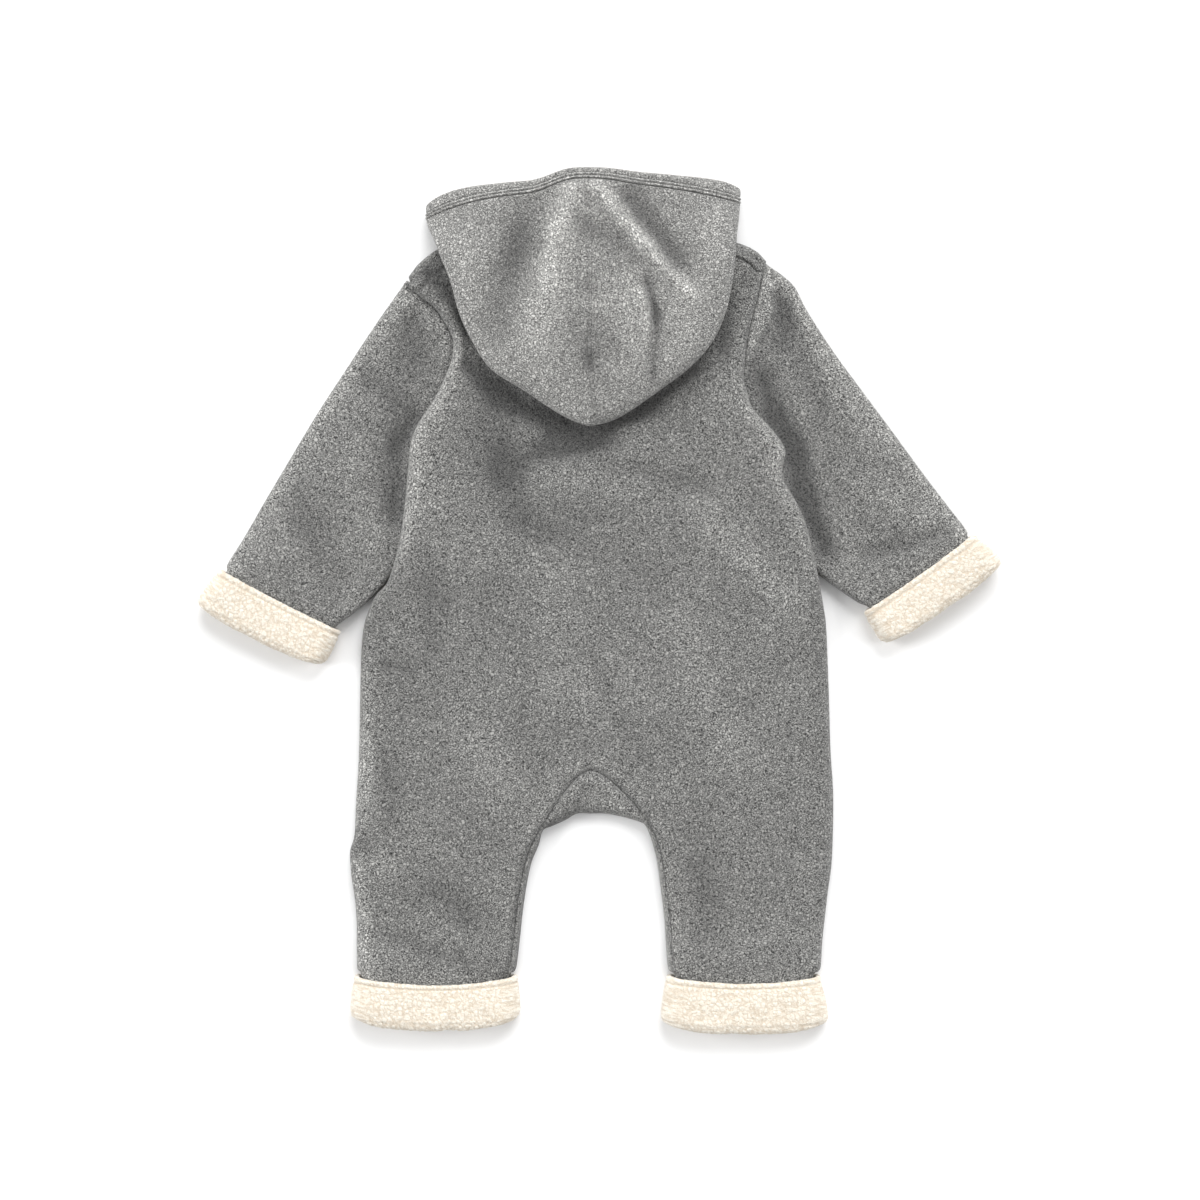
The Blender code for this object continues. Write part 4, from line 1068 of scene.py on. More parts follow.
# Cuffs: the two ends of the hem line and of the fold line, the limb's upper side there, how square its
# lower corners are (1 is round), how far the free edge sags along the limb, how far the corners of the
# fold draw back, and the radius of those corners.
Cuff = namedtuple("Cuff", "hem_a hem_b fold_a fold_b high square sag corner round")
CUFFS = {
    "leg_cuff_left": Cuff((-171.8, -270), (-64.2, -270), (-174.4, -309), (-62.8, -309),
                          17.8, 0.2, 6, 6, 7),
    "leg_cuff_right": Cuff((53.8, -270), (154.5, -270), (48.2, -311.5), (160.4, -311.5),
                           17.8, 0.2, 5, 5.5, 5),
    "sleeve_cuff_left": Cuff((-269, 20.5), (-190.5, -19.7), (-289.5, -7.2), (-206.6, -49),
                             14.7, 1.0, 1, 3, 4),
    "sleeve_cuff_right": Cuff((194.5, -5.3), (266, 45.4), (211, -32.5), (289.6, 21),
                              14.7, 1.0, 1, 3, 4),
}

# %% Curls
# Curls of two sizes: how large in mm, their share of the height, and how wide their cracks are.
CURLS = ((3.2, 0.62, 0.55), (1.664, 0.38, 0.6))
CURL_WARP = 0.35         # the curls are drawn out of round by this much
WARP_SIZE = 7.0          # in waves of this length
CURL_SEED = 7            # keeps the warp the same in each run; without one, the clock is its seed
noise.seed_set(CURL_SEED)


def curls(point):
    """How high the pile stands at a point in millimetres: 1 on a curl, 0 in a crack."""
    warp = noise.noise_vector(point / WARP_SIZE) * CURL_WARP
    total = 0.0
    for size, share, sharp in CURLS:
        distances = noise.voronoi(point / size + warp)[0]
        total += share * smooth_step((distances[1] - distances[0]) / sharp)
    return total


# %% Section of a cuff
CURL_STEP = 0.8          # distance between the points that make the curls
HEM_ARC = 7              # steps round the free edge
FOLD_ARC = 22            # and round the fold
CUFF_BULGE = 0.9         # how far the pile swells between the two
HEM_CURLS = 0.6          # how curly the free edge is
INNER_CURLS = 0.4        # and how curly the fold is once it has turned inwards
INNER_ANGLE = 2.2        # past this angle
CUFF_MIDDLE = 0.4        # one more row across its inner side, at this share of its length


def cuff_profile(length):
    """The section of a cuff as (distance from the free edge, stand-off from the limb, how curly)."""
    outer, inner = SEAM + WALL, -WALL
    half = WALL / 2
    profile = []
    for angle in [-math.pi / 2] + steps(-math.pi / 2, math.pi / 2, HEM_ARC):
        profile.append((half * (1.0 - math.cos(angle)), SEAM + half + half * math.sin(angle), HEM_CURLS))
    turn = length * CUFF_TURN
    for s in steps(half, turn, int((turn - half) / CURL_STEP)):
        bulge = CUFF_BULGE * math.sin(math.pi * min(1.0, (s - half) / (length - half)))
        profile.append((s, outer + bulge, 1.0))
    centre, radius = (outer + inner) / 2.0, (outer - inner) / 2.0
    for angle in steps(0.0, math.pi, FOLD_ARC):
        profile.append((turn + (length - turn) * math.sin(angle), centre + radius * math.cos(angle),
                        1.0 if angle < INNER_ANGLE else INNER_CURLS))
    seam = length * CUFF_SEAM
    return profile + [(seam, inner, 0.0), (seam, 0.0, 0.0), (turn, 0.0, 0.0), (turn, SEAM, 0.0),
                      (length * CUFF_MIDDLE, SEAM, 0.0)]


def cuff_ring(cuff, share, stand_off, top, bottom):
    """A ring of a cuff at a share of the way from its hem to its fold."""
    a = Vector(cuff.hem_a).lerp(Vector(cuff.fold_a), share)
    b = Vector(cuff.hem_b).lerp(Vector(cuff.fold_b), share)
    across = (b - a).normalized()
    down = (Vector(cuff.fold_a) - Vector(cuff.hem_a)).normalized()
    past_seam = max(0.0, share - CUFF_SEAM) / (1.0 - CUFF_SEAM)
    rounded = cuff.round * (1.0 - math.sqrt(1.0 - min(1.0, past_seam) ** 2))
    a -= across * (stand_off + CUFF_EASE - rounded)
    b += across * (stand_off + CUFF_EASE - rounded)

    def point_at(s):
        from_middle = abs(2.0 * s - 1.0)
        sag = cuff.sag * (1.0 - from_middle ** 2) * max(0.0, 1.0 - share / CUFF_SEAM)
        back = cuff.corner * from_middle ** CORNER_POWER * max(0.0, share) ** 2
        return a.lerp(b, s) + down * (sag - back)

    return flat_ring(point_at, (b - a).length, HEM_LIFT - stand_off, cuff.high + stand_off,
                     square=cuff.square, top=top, bottom=bottom)


# %% Cuffs
UNDER_STEP = 1.8         # distance between the points on the underside, which needs no fine curls
CURL_HEIGHT = 0.75       # how far a curl stands out of a crack
CURL_MEAN = 0.6          # the height of a curl that is left where the surface was
SWELL = 0.8              # the pile is thicker and thinner by this much
SWELL_SIZE = 13.0        # in waves of this length
LINE_WIDTH = 0.8         # the hem's stitches press the curls down over this width
LINE_DEPTH = 1.1         # by this much
LINE_SHADE = 0.75        # and show this share of the deep tone
INSIDE_CURL = 0.8        # the tone of the smooth inner side
FLOOR_ROOM = 0.05        # no curl comes nearer to the floor


def make_cuff(name, cuff, node):
    length = (Vector(cuff.fold_a) - Vector(cuff.hem_a)).length
    width = (Vector(cuff.hem_b) - Vector(cuff.hem_a)).length
    profile = cuff_profile(length)
    cloth = Cloth()
    curl = cloth.mesh.verts.layers.float.new("curl")
    top, bottom = int(width / CURL_STEP), int(width / UNDER_STEP)
    rings = [cuff_ring(cuff, s / length, r, top, bottom) for s, r, curly in profile]
    grid = cloth.grid(rings + rings[:1], closed=True)
    facts = {vert: (s, curly) for (s, r, curly), row in zip(profile, grid) for vert in row}
    bm = cloth.mesh
    bmesh.ops.remove_doubles(bm, verts=bm.verts, dist=SAME_POINT)
    bmesh.ops.recalc_face_normals(bm, faces=bm.faces)
    bm.normal_update()
    moved = {}
    for vert in bm.verts:
        s, curly = facts.get(vert, (0.0, 0.0))
        tuft = curls(vert.co)
        at_line = dip(s - HEM_LINE, LINE_WIDTH) if curly == 1.0 else 0.0
        swell = SWELL * noise.noise(vert.co / SWELL_SIZE)
        height = curly * (CURL_HEIGHT * (tuft - CURL_MEAN) * (1.0 - at_line) + swell) - LINE_DEPTH * at_line
        moved[vert] = vert.co + vert.normal * height
        vert[curl] = max(0.0, tuft * (1.0 - LINE_SHADE * at_line)) if curly else INSIDE_CURL
    for vert, place in moved.items():
        vert.co = place
        vert.co.z = max(FLOOR_ROOM, vert.co.z)
    return finish_piece(name, bm, (pile,), node)


cuffs = {node: make_cuff(node + "_cloth", cuff, node) for node, cuff in CUFFS.items()}

# %% [markdown]
# ## The hood
# The hood is sewn from two halves with a seam over the middle of the head, and a band finishes its face edge.
# Empty and folded back, it lies as a flat pocket: an upper layer, a soft fold along each side, and a lower
# layer on the back. Two ridges run down from the peak at the face edge and leave a tent between them, a
# crease crosses it on the right, and the tip is blunt and bulges softly. Its seam is topstitched, which
# shows as a narrow groove on each side of it.

# %% Outline of the hood
BAND_DROP = 0.03         # share of its height that the band loses towards its free edge
PEAK_WIDTH = 0.25        # share of the hood's half width over which its peak fades
PEAK_POWER = 3           # how flat the peak is on top
DOME_POWER = 0.8         # how flat the hood's upper layer is across its middle

# Rows of both hood halves from the face edge to the tip. A level is the centre seam on the upper layer, the
# height and the radius of the side fold, and the inner end of the lower layer, which follows the neck to
# the back of the neck and then the centre seam to the tip. A side is the peak of the row at the centre
# seam, how late the row turns to the side fold, and where that fold is. The tip is blunter than the
# solid's, and the right edge lies a little farther out.
HoodLevel = namedtuple("HoodLevel", "top_y top_z side_z radius low_y low_z")
HOOD_LEVELS = table(HoodLevel,
    (301, 33.0, 8.6, 8.0, 278, 0.3),
    (286, 34.5, 12.0, 7.5, 272, 2.0),
    (269, 35.5, 17.5, 6.5, 266, 11.0),
    (250, 36.0, 22.6, 6.2, 257, 16.2),
    (228, 36.0, 23.2, 6.2, 240, 16.0),
    (205, 35.5, 23.4, 6.2, 218, 15.4),
    (184, 34.5, 23.4, 6.2, 195, 14.2),
    (165, 33.0, 23.2, 6.2, 173, 13.8),
    (149, 31.0, 22.6, 6.2, 154, 13.8),
    (138, 29.5, 22.0, 6.4, 139, 13.8),
    (133.5, 28.6, 21.0, 7.0, 134, 14.0),
    (131, 28.6, 21.0, 7.0, 131, 14.0),
)
HoodSide = namedtuple("HoodSide", "peak sweep side_x side_y")
LEFT_HOOD_SIDE = table(HoodSide,
    (10, 3.0, -125, 274),
    (6, 2.8, -122.5, 266.5),
    (2, 2.6, -119, 259),
    (0, 2.6, -115, 249),
    (0, 2.6, -107, 229),
    (0, 2.6, -101, 207),
    (0, 2.6, -92, 187),
    (0, 2.6, -78, 166),
    (0, 2.6, -55, 151),
    (0, 2.6, -30, 134.5),
    (0, 2.6, -16, 127.5),
    (0, 2.6, CENTRE_X, 125),
)
RIGHT_HOOD_SIDE = table(HoodSide,
    (2.6, 1.8, 101.5, 285.5),
    (2, 2.0, 100.5, 275),
    (1, 2.3, 99, 264),
    (0, 2.6, 98, 253),
    (0, 2.6, 96, 233),
    (0, 2.6, 91, 208),
    (0, 2.6, 82, 187),
    (0, 2.6, 66, 168),
    (0, 2.6, 43, 150.5),
    (0, 2.6, 20, 134.5),
    (0, 2.6, 5, 127.5),
    (0, 2.6, CENTRE_X, 125),
)
Hood = namedtuple("Hood", HoodLevel._fields + HoodSide._fields)
LEFT_HOOD = [Hood(*level, *side) for level, side in zip(HOOD_LEVELS, LEFT_HOOD_SIDE)]
RIGHT_HOOD = [Hood(*level, *side) for level, side in zip(HOOD_LEVELS, RIGHT_HOOD_SIDE)]

# The width of the band round the hood's face edge, from the centre seam (0) to the side fold (1).
Band = namedtuple("Band", "share width")
BAND = table(Band, (0, 8.2), (0.35, 9.2), (0.6, 10.4), (0.8, 12.2), (0.92, 12.6), (1, 11.5))

# %% Folds of the hood
HOOD_FOLDS = table(Fold,
    (-3, 298, 32, 253, 4.4, 6),
    (32, 253, 64, 219, 4.2, 6),
    (24, 287, 54, 243, -3.2, 9),
    (86, 268, 84, 236, 1.6, 12),
    (-16, 296, -30, 262, 3.2, 8),
    (-30, 262, -34, 232, 2.4, 9),
    (-34, 232, -46, 186, 2.8, 12),
    (-46, 290, -60, 250, -2.0, 13),
    (-60, 250, -74, 200, -2.2, 13),
    (-7, 264, 14, 254, -2.2, 8),
    (-8, 222, -7, 220, -1.6, 5),
    (-6, 211, 0, 211, 1.4, 7),
    (-7, 186, -7, 172, -1.6, 14),
    (-8, 173, -7, 170, -2.2, 5),
    (34, 227, 40, 203, -3.6, 3.5),
    (40, 203, 38, 158, -2.4, 3.5),
    (31, 218, 35, 186, 2.4, 3.5),
    (24, 214, 26, 176, 1.4, 10),
    (62, 205, 56, 172, 1.0, 10),
    (-100, 250, -100, 215, 1.4, 10),
)
HOOD_PLACE = 500.0       # keeps the hood's unevenness apart from the body's
PEAK_DRIFT = -2.0        # how far the centre seam strays from the centre line at the face edge
PEAK_DRIFT_RUN = (250.0, 60.0)   # from this y on, over this length
TIP_DRIFT = 4.5          # and towards the tip
TIP_DRIFT_RUN = (175.0, 50.0)


def hood_fold(x, y):
    return fold_sum(HOOD_FOLDS, x, y) + ripple(x, y + HOOD_PLACE)


def seam_drift(y):
    """How far the centre seam strays from the centre line: to the left above, to the right at the tip."""
    peak_y, peak_run = PEAK_DRIFT_RUN
    tip_y, tip_run = TIP_DRIFT_RUN
    return PEAK_DRIFT * smooth_step((y - peak_y) / peak_run) + TIP_DRIFT * smooth_step((tip_y - y) / tip_run)


# %% Hood rows
# Angles over the upper layer, from the centre seam out. They are closest together beside the seam.
HOOD_ANGLES = ([0.0] + steps(0.0, 0.036, 8) + steps(0.036, 0.09, 5) + steps(0.09, math.pi / 2, 52))[:-1]
HOOD_STEPS = shares(0.018, 6, 86)
HOOD_CURL = 9            # steps round the side fold
HOOD_LOWER = 22          # steps across the lower layer
HOOD_GAP = 0.05          # the finished halves all but touch at the centre seam
LEFT_HOOD_HIGHLIGHT = 0.5      # a painted highlight this strong along the left side fold, and none along the right one
HOOD_HIGHLIGHT_WIDTH = 9.0     # it fades out over this distance from the fold
TOPSTITCH = ((-0.5, 1.4, 0.5), (0.2, 0.0, 0.9), (0.25, 3.0, 1.2))   # height, distance from the seam, width
BAND_SEAM = ((-0.6, 0.0, 0.9),)
SIDE_SHARE = 0.14        # the folds fade out over this share of the width beside the side fold
FOLD_HALF_WIDTH = 30.0   # a row narrower than this, as at the tip, has weaker folds
DRIFT_HALF_WIDTH = 12.0  # the same for the seam's drift
SEAM_HALF_WIDTH = 8.0    # and for the topstitching
BAND_FADE = 14.0         # the folds grow over this distance from the band
BAND_START = 0.25        # from this share
SEAM_START = 0.3         # a seam's relief runs on this much nearer to the side fold than the folds do


def hood_row(row, outward, from_band=FAR):
    """A row of one hood half: over the top to the side fold, round it, and in under the hood."""
    centre_x = CENTRE_X + outward * HOOD_GAP / 2
    width = max(0.0, outward * (row.side_x - centre_x))
    side_x = centre_x + outward * width
    drift = seam_drift(row.top_y) * smooth_step(width / DRIFT_HALF_WIDTH)
    # a painted highlight along the hood's left side fold
    raised = LEFT_HOOD_HIGHLIGHT if outward < 0 else 0.0
    stitched = smooth_step(width / SEAM_HALF_WIDTH)
    points = []
    for angle in HOOD_ANGLES:
        u = math.sin(angle)
        x = mix(centre_x, side_x, u)
        peak = row.peak * math.exp(-(u / PEAK_WIDTH) ** PEAK_POWER)
        y = mix(row.top_y - row.peak, row.side_y, u ** row.sweep) + peak
        z = row.side_z + (row.top_z - row.side_z) * math.cos(angle) ** DOME_POWER
        inside = smooth_step((1.0 - u) / SIDE_SHARE) * smooth_step(width / FOLD_HALF_WIDTH)
        fold = hood_fold(x, y) * inside * smooth_step(BAND_START + from_band / BAND_FADE)
        seams = relief(TOPSTITCH, abs(x - centre_x)) * stitched + relief(BAND_SEAM, from_band)
        fold += seams * smooth_step(inside + SEAM_START)
        points.append((x + drift * (1.0 - u) ** 2, y, z, fold,
                       raised * math.exp(-abs(side_x - x) / HOOD_HIGHLIGHT_WIDTH)))
    curl = min(row.radius, width)
    for k in range(HOOD_CURL + 1):
        angle = math.pi / 2 * k / HOOD_CURL
        inset = curl * (1.0 - math.cos(angle))
        share = inset / width if width > SAME_POINT else math.sin(angle)
        z = row.side_z - row.radius * math.sin(angle)
        points.append((side_x - outward * inset, mix(row.side_y, row.low_y, share), z, 0.0, raised))
    start = Vector(points[-1][:3])
    end = Vector((centre_x, row.low_y, row.low_z))
    return points + [(*start.lerp(end, t), 0.0) for t in steps(0.0, 1.0, HOOD_LOWER)]


def edge_inward(path):
    """The wall's direction at each point of a path that runs clockwise as the feet see it."""
    directions = []
    for i in range(len(path)):
        before, after = path[max(i - 1, 0)], path[min(i + 1, len(path) - 1)]
        directions.append(Vector((after[2] - before[2], 0.0, before[0] - after[0])).normalized())
    return directions


# %% Hood halves
def make_hood_half(name, levels, outward, node):
    """A hood half. Its wall is square to the centre seam there, and to the band at the face edge."""
    cloth = Cloth()
    reach = abs(levels[1].top_y - levels[0].top_y) * (len(levels) - 1)
    rows = [hood_row(spline(levels, v), outward, v * reach) for v in HOOD_STEPS]
    grid = cloth.grid(rows)
    seam = {row[k] for row in grid for k in (0, -1)} | set(grid[-1])
    face_edge = {vert: run * outward for vert, run in zip(grid[0], edge_inward(rows[0]))}
    cloth.turn_outwards()

    def inward(vert):
        direction = face_edge.get(vert, -vert.normal)
        return level(direction, SIDEWAYS) if vert in seam else direction

    cloth.thicken(inward)
    return finish_piece(name, cloth.mesh, (hood_fleece, pile), node)


hood_left = make_hood_half("hood_left_cloth", LEFT_HOOD, -1.0, "hood_left")
hood_right = make_hood_half("hood_right_cloth", RIGHT_HOOD, 1.0, "hood_right")

# %% [markdown]
# ## The band round the hood's face edge
# The cloth is turned once at the face edge and sewn down, which leaves a smooth band as wide as a finger.
# Seen from above it has a soft ridge along the seam and two rows of stitches on the ridge, and its free
# edge is round. The rows of the band follow the last row of the hood, so the seam stays even.

# %% Band
BAND_SHARES = [0.0] + steps(0.0, 1.0, 30)
STITCH_ROWS = (2.4, 4.7)  # how far the two rows of stitches are from the seam, mm
# Across the band the cloth dips at the seam and at both rows of stitches, and rises between them.
BAND_RELIEF = ((-0.7, 0.0, 0.5), (-0.3, STITCH_ROWS[0], 0.5), (-0.3, STITCH_ROWS[1], 0.5), (0.7, 1.1, 0.65),
               (0.7, 3.5, 0.65), (0.3, 8.0, 2.5))   # height, distance from the seam, width
BAND_PAINTED_LIGHT = 0.1           # a painted highlight over the whole band
RELIEF_PAINTED_SHADING = 0.9         # and more painted highlight on its ridges and painted shade in its dips, for each mm of their height
BAND_EDGE = 0.25         # half of the wall that is left where the free edge has been rounded off
BAND_WAVE = 0.5          # the free edge waves by this much
BAND_WAVES = (24.0, 20.0, 2.0)   # in waves of this length along the band and across it, and their place
BAND_FLOOR = 0.1         # the ends of the band stay this far above the surface


def band_path():
    """The last row of both hood halves as one, and the width of the band at each of its points."""
    left = hood_row(LEFT_HOOD[0], -1.0, 0.0)
    right = hood_row(RIGHT_HOOD[0], 1.0, 0.0)
    middle = (CENTRE_X + seam_drift(LEFT_HOOD[0].top_y), left[0][1], left[0][2], left[0][3])
    half = [at_key(BAND, math.sin(angle)).width for angle in HOOD_ANGLES]
    half += [BAND[-1].width] * (len(left) - len(half))
    return left[::-1][:-1] + [middle] + right[1:], half[::-1] + half[1:]


def make_band():
    cloth = Cloth()
    path, widths = band_path()
    directions = edge_inward(path)
    round_edge = WALL / 2 - BAND_EDGE
    along, across, wave_place = BAND_WAVES
    rows = []
    walls = []
    for share in BAND_SHARES:
        row = []
        walls.append([])
        for (x, y, z, *_), run, width in zip(path, directions, widths):
            reach = width * share
            past = max(0.0, reach - (width - round_edge))
            shrink = round_edge - math.sqrt(max(0.0, round_edge ** 2 - past ** 2))
            place = Vector((x, y + SEAM + reach, z * (1.0 - BAND_DROP * share)))
            wave = BAND_WAVE * noise.noise(Vector((x / along, reach / across, wave_place)))
            height = relief(BAND_RELIEF, reach)
            place -= run * (height + wave * share - shrink)
            place.z = max(BAND_FLOOR, place.z)
            # painted light over the band, lighter on its ridges and painted shade in its dips
            row.append((*place, 0.0, BAND_PAINTED_LIGHT + RELIEF_PAINTED_SHADING * height))
            walls[-1].append(WALL - 2.0 * shrink)
        rows.append(row)
    grid = cloth.grid(rows)
    run_of = {vert: run for row in grid for vert, run in zip(row, directions)}
    wall_of = {vert: wall for row, line in zip(grid, walls) for vert, wall in zip(row, line)}
    cloth.turn_outwards()
    cloth.thicken(lambda vert: run_of[vert], lambda vert: wall_of[vert])
    piece = finish_piece("hood_band", cloth.mesh, (hood_fleece, pile), "hood_binding")
    return piece, rows, widths


band, band_rows, band_widths = make_band()

# %% [markdown]
# ## Stitches
# A stitch in thick fleece sinks in, so all that shows is a short dark dash. One dash is modelled from a
# ball with a few dozen faces, and copied along its line at an even pitch, turned to follow the line. All
# dashes of one seam are one piece.

# %% Stitch lines
STITCH_PITCH = 2.1       # from one stitch to the next, mm
STITCH_LENGTH = 1.3
STITCH_WIDTH = 0.75
STITCHED_ABOVE = 12.0    # the rows of stitches end where the band turns down past this height


def model_dash():
    """One stitch, modelled once along X: a ball with few faces whose ends are drawn to a blunt point."""
    bpy.ops.object.select_all(action="DESELECT")
    bpy.ops.mesh.primitive_uv_sphere_add(segments=6, ring_count=5, radius=0.5, rotation=(0, math.pi / 2, 0))
    ball = bpy.context.active_object
    bpy.ops.object.transform_apply(location=True, rotation=True, scale=True)
    bpy.ops.object.mode_set(mode="EDIT")
    bpy.ops.mesh.select_all(action="SELECT")
    bpy.ops.transform.resize(value=(STITCH_LENGTH, STITCH_WIDTH, STITCH_WIDTH))
    bpy.ops.object.mode_set(mode="OBJECT")
    dash = ball.data.copy()
    bpy.data.objects.remove(ball)
    return dash


def stitch_line(bm, dash, line):
    """Copies the dash along a line of points at an even pitch, each turned to follow the line."""
    left_over = STITCH_PITCH / 2
    for a, b in zip(line, line[1:]):
        run = b - a
        while left_over <= run.length and run.length > 0:
            have = len(bm.verts)
            bm.from_mesh(dash)
            bm.verts.ensure_lookup_table()
            turn = run.to_track_quat("X", "Z").to_matrix().to_4x4()
            shift = Matrix.Translation(a + run.normalized() * left_over)
            bmesh.ops.transform(bm, matrix=shift @ turn, verts=bm.verts[have:])
            left_over += STITCH_PITCH
        left_over -= run.length


def band_line(reach):
    """The line on the upper side of the band at a distance from its seam."""
    line = []
    for k, width in enumerate(band_widths):
        place = reach / width * (len(BAND_SHARES) - 1)
        i = int(place)
        line.append(Vector(band_rows[i][k][:3]).lerp(Vector(band_rows[i + 1][k][:3]), place - i))
    return [point for point in line if point.z > STITCHED_ABOVE]


def make_stitches():
    bm = bmesh.new()
    dash = model_dash()
    for reach in STITCH_ROWS:
        stitch_line(bm, dash, band_line(reach))
    return finish_piece("band_stitches", bm, (thread,))


band_stitches = make_stitches()

# %% [markdown]
# ## The fronts
# The fronts are the underside here. They lie flat on the surface from the neck to the ankles and meet at
# the opening, and a strip of each turns up over the shoulder to the seam with the back. Each flat snap
# sits in a shallow hollow of the cloth that it is pressed into.

# %% Outlines of the fronts
SNAP_RADIUS = 5.5
SNAP_X = CENTRE_X - 8.0
SNAP_YS = (226.0, 146.0, 66.0, -14.0, -94.0)
SNAP_ROOM = 1.2          # the hollow round a snap is this much wider than the snap
SNAP_HOLLOW = 2.2        # this deep
SNAP_SLOPE = 5.0         # and its sides are this long
FRONT_INSET = 4.6        # a front's inner leg edge lies this far inside the gusset's edge
SHOULDER_FLANGE = 0.45   # share of its turn's radius that the shoulder strip runs on under the back
RIM_ROOM = 0.6           # room between a front's side edge and the back's rim
SLEEVE_ROOM = 1.4        # the same to the sleeve's seam
UNDERARM_SHARE = 0.7     # share of the sleeve's inner edge that can lie beside a front
SEAM_STEPS = 28


def front_side(sides, sleeve, y):
    """The x of a front's side edge: along the sleeve's seam, and inside the back's rim below it."""
    inward = 1.0 if sides[0].x < CENTRE_X else -1.0
    side_x = at_key(sides, y).x + inward * (WALL + RIM_ROOM)
    line = [armhole_point(sleeve[0], k / SEAM_STEPS) for k in range(SEAM_STEPS + 1)]
    for k in range(1, SEAM_STEPS + 1):
        row = spline(sleeve, UNDERARM_SHARE * k / SEAM_STEPS)
        line.append((row.inner_x, row.inner_y))
    for (x0, y0), (x1, y1) in zip(line, line[1:]):
        if y1 <= y < y0:
            sleeve_x = mix(x0, x1, (y0 - y) / (y0 - y1)) + inward * SLEEVE_ROOM
            side_x = max(sleeve_x, side_x) if inward > 0 else min(sleeve_x, side_x)
    return side_x


def snap_hollow(x, y):
    """How far the cloth is pressed in round the snaps, mm."""
    near = min(math.hypot(x - SNAP_X, y - snap_y) for snap_y in SNAP_YS)
    return SNAP_HOLLOW * (1.0 - smooth_step((near - SNAP_RADIUS - SNAP_ROOM) / SNAP_SLOPE))


# %% Rows of the fronts
FRONT_ROWS = 76
FRONT_LEG_ROWS = 40
FRONT_COLUMNS = 26
COLUMN_POWER = 1.2       # the columns stand closer together beside the opening
OPENING_TURN = 1.2       # the edges of the opening turn up by this much
OPENING_WIDTH = 1.5      # over this width


def front_rows(sides, inseam, sleeve, tip, rises):
    """The flat rows of a front, each from the centre opening or the inner leg to its side edge."""
    opening_x = CENTRE_X + math.copysign(SEAM / 2, tip[0])
    ends = []
    for i in range(FRONT_ROWS + 1):
        v = i / FRONT_ROWS
        inner = (opening_x, mix(NECK_Y, inseam[0].edge_y + WALL, v))
        side_y = mix(tip[1], inseam[0].side_y, v)
        outer = tip if i == 0 else (front_side(sides, sleeve, side_y), side_y)
        ends.append((inner, outer, max(0.0, 1.0 - v / YOKE_SHARE) ** 2))
    for i in range(1, FRONT_LEG_ROWS + 1):
        leg = spline(inseam, i / FRONT_LEG_ROWS)
        across = Vector((leg.seam_x - leg.edge_x, leg.seam_y - leg.edge_y)).normalized()
        inner = (leg.edge_x + across.x * FRONT_INSET, leg.edge_y + across.y * FRONT_INSET)
        ends.append((inner, (front_side(sides, sleeve, leg.side_y), leg.side_y), 0.0))
    rows = []
    for inner, outer, yoke in ends:
        row = []
        for j in range(FRONT_COLUMNS + 1):
            u = (j / FRONT_COLUMNS) ** COLUMN_POWER
            x = mix(inner[0], outer[0], u)
            y = mix(inner[1], outer[1], u) + yoke * at_key(rises, u).height
            turned = OPENING_TURN * dip(x - CENTRE_X, OPENING_WIDTH) if y > LEG_TOP else 0.0
            hollow = snap_hollow(x, y) if tip[0] < CENTRE_X else 0.0
            row.append((x, y, hem_lift(y) + max(turned, hollow), 0.0))
        rows.append(row)
    return rows


# %% Fronts
SHOULDER_COLUMN = 13     # the shoulder strip starts at this column
SHOULDER_STEPS = 12


def make_front(name, sides, inseam, sleeve, tip, rises, node):
    """A front with the strip of it that turns up over the shoulder and under the back's edge."""
    cloth = Cloth()
    grid = cloth.grid(front_rows(sides, inseam, sleeve, tip, rises))
    last = grid[0][SHOULDER_COLUMN:]
    edge = [vert.co.copy() for vert in last]
    along = (edge[-1] - edge[0]).normalized()
    out = Vector((-along.y, along.x, 0.0)) if along.x > 0 else Vector((along.y, -along.x, 0.0))
    strip = set()
    turns = [(math.sin(angle), 1.0 - math.cos(angle)) for angle in steps(0.0, math.pi, SHOULDER_STEPS)]
    radius = SLEEVE_TOP / 2
    for reach, height in turns + [(-SHOULDER_FLANGE * 0.5, 2.0), (-SHOULDER_FLANGE, 2.0)]:
        row = [cloth.mesh.verts.new(point + out * radius * reach - DOWN * radius * height)
               for point in edge]
        cloth.fold.update((vert, 0.0) for vert in row)
        for j in range(len(row) - 1):
            cloth.mesh.faces.new((last[j], last[j + 1], row[j + 1], row[j]))
        strip.update(row)
        last = row
    cloth.turn_outwards(up=False)

    def wall(vert):
        return WALL - max(0.0, vert.co.z - hem_lift(vert.co.y)) if vert not in strip else WALL

    cloth.thicken(lambda vert: -level(vert.normal, along) if vert in strip else -DOWN, wall)
    return finish_piece(name, cloth.mesh, (fleece, pile), node)


front_left = make_front("front_left_cloth", LEFT_SIDE, LEFT_INSEAM, LEFT_SLEEVE, LEFT_FRONT_TIP, LEFT_RISE,
                        "front_left")
front_right = make_front("front_right_cloth", RIGHT_SIDE, RIGHT_INSEAM, RIGHT_SLEEVE, RIGHT_FRONT_TIP,
                         RIGHT_RISE, "front_right")

# %% [markdown]
# ## The placket and the snaps
# The strip behind the opening is a flat piece of the same cloth with rounded long edges. The snaps are hard,
# and their solids already have the right shape, so they stay and only get their finish.

# %% Placket
PLACKET_WIDTH = 24.0
PLACKET_THICK = 2.4
PLACKET_ENDS = (240.0, -140.0)
PLACKET_ROWS = 60
PLACKET_ARC = 8          # steps round each long edge


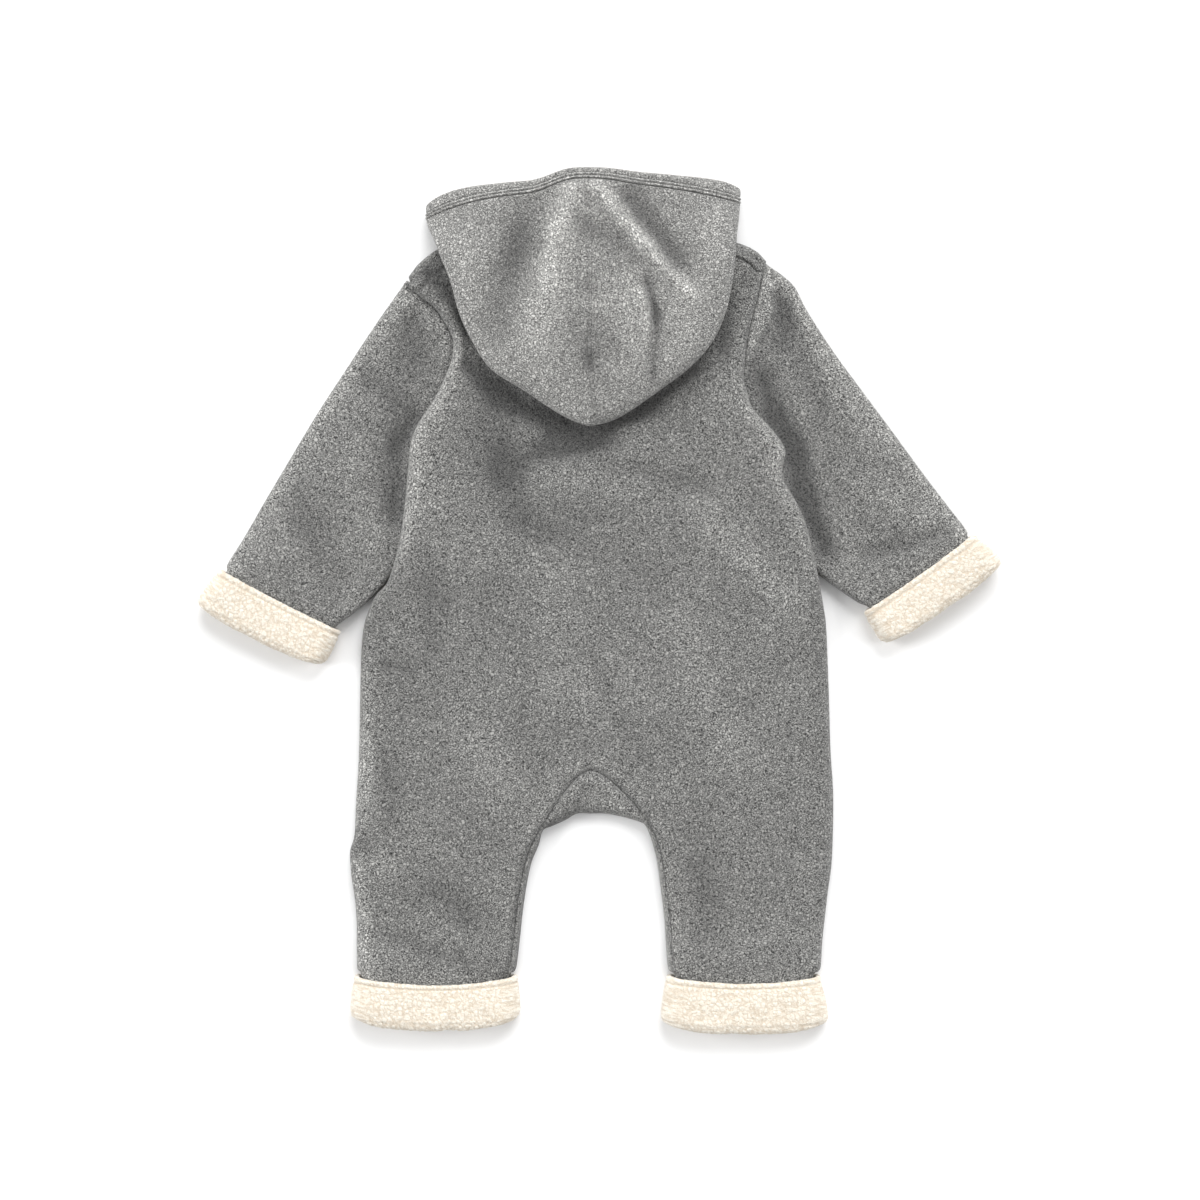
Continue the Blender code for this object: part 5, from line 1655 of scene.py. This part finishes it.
def make_placket():
    low, half = WALL + SEAM, PLACKET_WIDTH / 2
    middle, round_edge = low + PLACKET_THICK / 2, PLACKET_THICK / 2
    section = []
    for side in (1.0, -1.0):
        for angle in [-math.pi / 2] + steps(-math.pi / 2, math.pi / 2, PLACKET_ARC):
            section.append((side * (half - round_edge + round_edge * math.cos(angle)),
                            middle + side * round_edge * math.sin(angle)))
    rows = [[(CENTRE_X + x, y, z, 0.0) for x, z in section]
            for y in [PLACKET_ENDS[0]] + steps(*PLACKET_ENDS, PLACKET_ROWS)]
    cloth = Cloth()
    grid = cloth.grid(rows, closed=True)
    cloth.mesh.faces.new(grid[0])
    cloth.mesh.faces.new(grid[-1])
    bmesh.ops.recalc_face_normals(cloth.mesh, faces=cloth.mesh.faces)
    return finish_piece("placket_cloth", cloth.mesh, (fleece,), "placket")


placket = make_placket()

# %% Snaps
for number in range(1, len(SNAP_YS) + 1):
    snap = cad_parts[f"snap_{number}"]
    for place in snap.material_slots:
        place.material = snap_finish
print("snaps finished:", len(SNAP_YS))

# %% [markdown]


# %% [markdown]
# ## Floor, light and camera
# The garment is seen from straight above on a plain pale floor. The main lamp stands beyond the head. It
# is wide and soft, so the hood casts a shadow with a soft edge onto the back. A weaker, lower lamp on each
# side lights the rounded edges, and the pale world keeps the shadows open. All three are distant lamps, so
# they light the whole cloth evenly. The camera stands far above the cloth, so it sees the outline without
# much perspective.

# %% Floor
FLOOR_SIZE = 8.0
FLOOR_Z = -0.0005        # just under the cloth, so that no two surfaces lie in one plane
FLOOR_GREY = 0.92

bpy.ops.mesh.primitive_plane_add(size=FLOOR_SIZE, location=(0.0, 0.0, FLOOR_Z))
floor = bpy.context.active_object
floor.name = "floor"
bpy.ops.object.transform_apply(location=True, rotation=True, scale=True)
floor_finish, _, floor_shader = new_material("floor", rough=0.9, specular=0.1)
floor_shader.inputs["Base Color"].default_value = (*grey(FLOOR_GREY), 1.0)
floor.data.materials.append(floor_finish)
print("floor:", FLOOR_SIZE, "m wide")

# %% Light
LAMP_DISTANCE = 3.0      # only for show, because a distant lamp has no place
WORLD_STRENGTH = 0.54


def add_lamp(name, azimuth, elevation, angle, strength):
    """A distant soft lamp. azimuth turns from +X towards the head, and angle is the lamp's own width."""
    lamp = bpy.data.lights.new(name, "SUN")
    lamp.energy = strength
    lamp.angle = math.radians(angle)
    made = bpy.data.objects.new(name, lamp)
    turn, rise = math.radians(azimuth), math.radians(elevation)
    towards = Vector((math.cos(turn) * math.cos(rise), math.sin(turn) * math.cos(rise), math.sin(rise)))
    made.location = towards * LAMP_DISTANCE
    made.rotation_euler = towards.to_track_quat("Z", "Y").to_euler()
    bpy.context.scene.collection.objects.link(made)
    print(f"{name}: {strength} from {azimuth} degrees, {elevation} degrees up")


add_lamp("head_lamp", azimuth=78.0, elevation=38.0, angle=42.0, strength=2.65)
add_lamp("left_lamp", azimuth=172.0, elevation=28.0, angle=30.0, strength=1.8)
add_lamp("right_lamp", azimuth=8.0, elevation=30.0, angle=30.0, strength=1.0)
world = bpy.data.worlds.new("studio")
world.use_nodes = True
background = world.node_tree.nodes["Background"]
background.inputs["Color"].default_value = (1.0, 1.0, 1.0, 1.0)
background.inputs["Strength"].default_value = WORLD_STRENGTH
bpy.context.scene.world = world
bpy.context.scene.view_settings.view_transform = "Standard"   # shows the colours without a film curve

# %% Camera
CAMERA_PLACE = (0.0004, 0.0004, 2.053)
SENSOR_WIDTH = 36.0
FOCAL_LENGTH = 85.0
CLIP_END = 20.0

camera_data = bpy.data.cameras.new("camera")
camera_data.sensor_width = SENSOR_WIDTH
camera_data.lens = FOCAL_LENGTH
camera_data.clip_end = CLIP_END
camera = bpy.data.objects.new("camera", camera_data)
camera.location = CAMERA_PLACE
bpy.context.scene.collection.objects.link(camera)
bpy.context.scene.camera = camera
print("camera:", CAMERA_PLACE[2], "m above the floor")
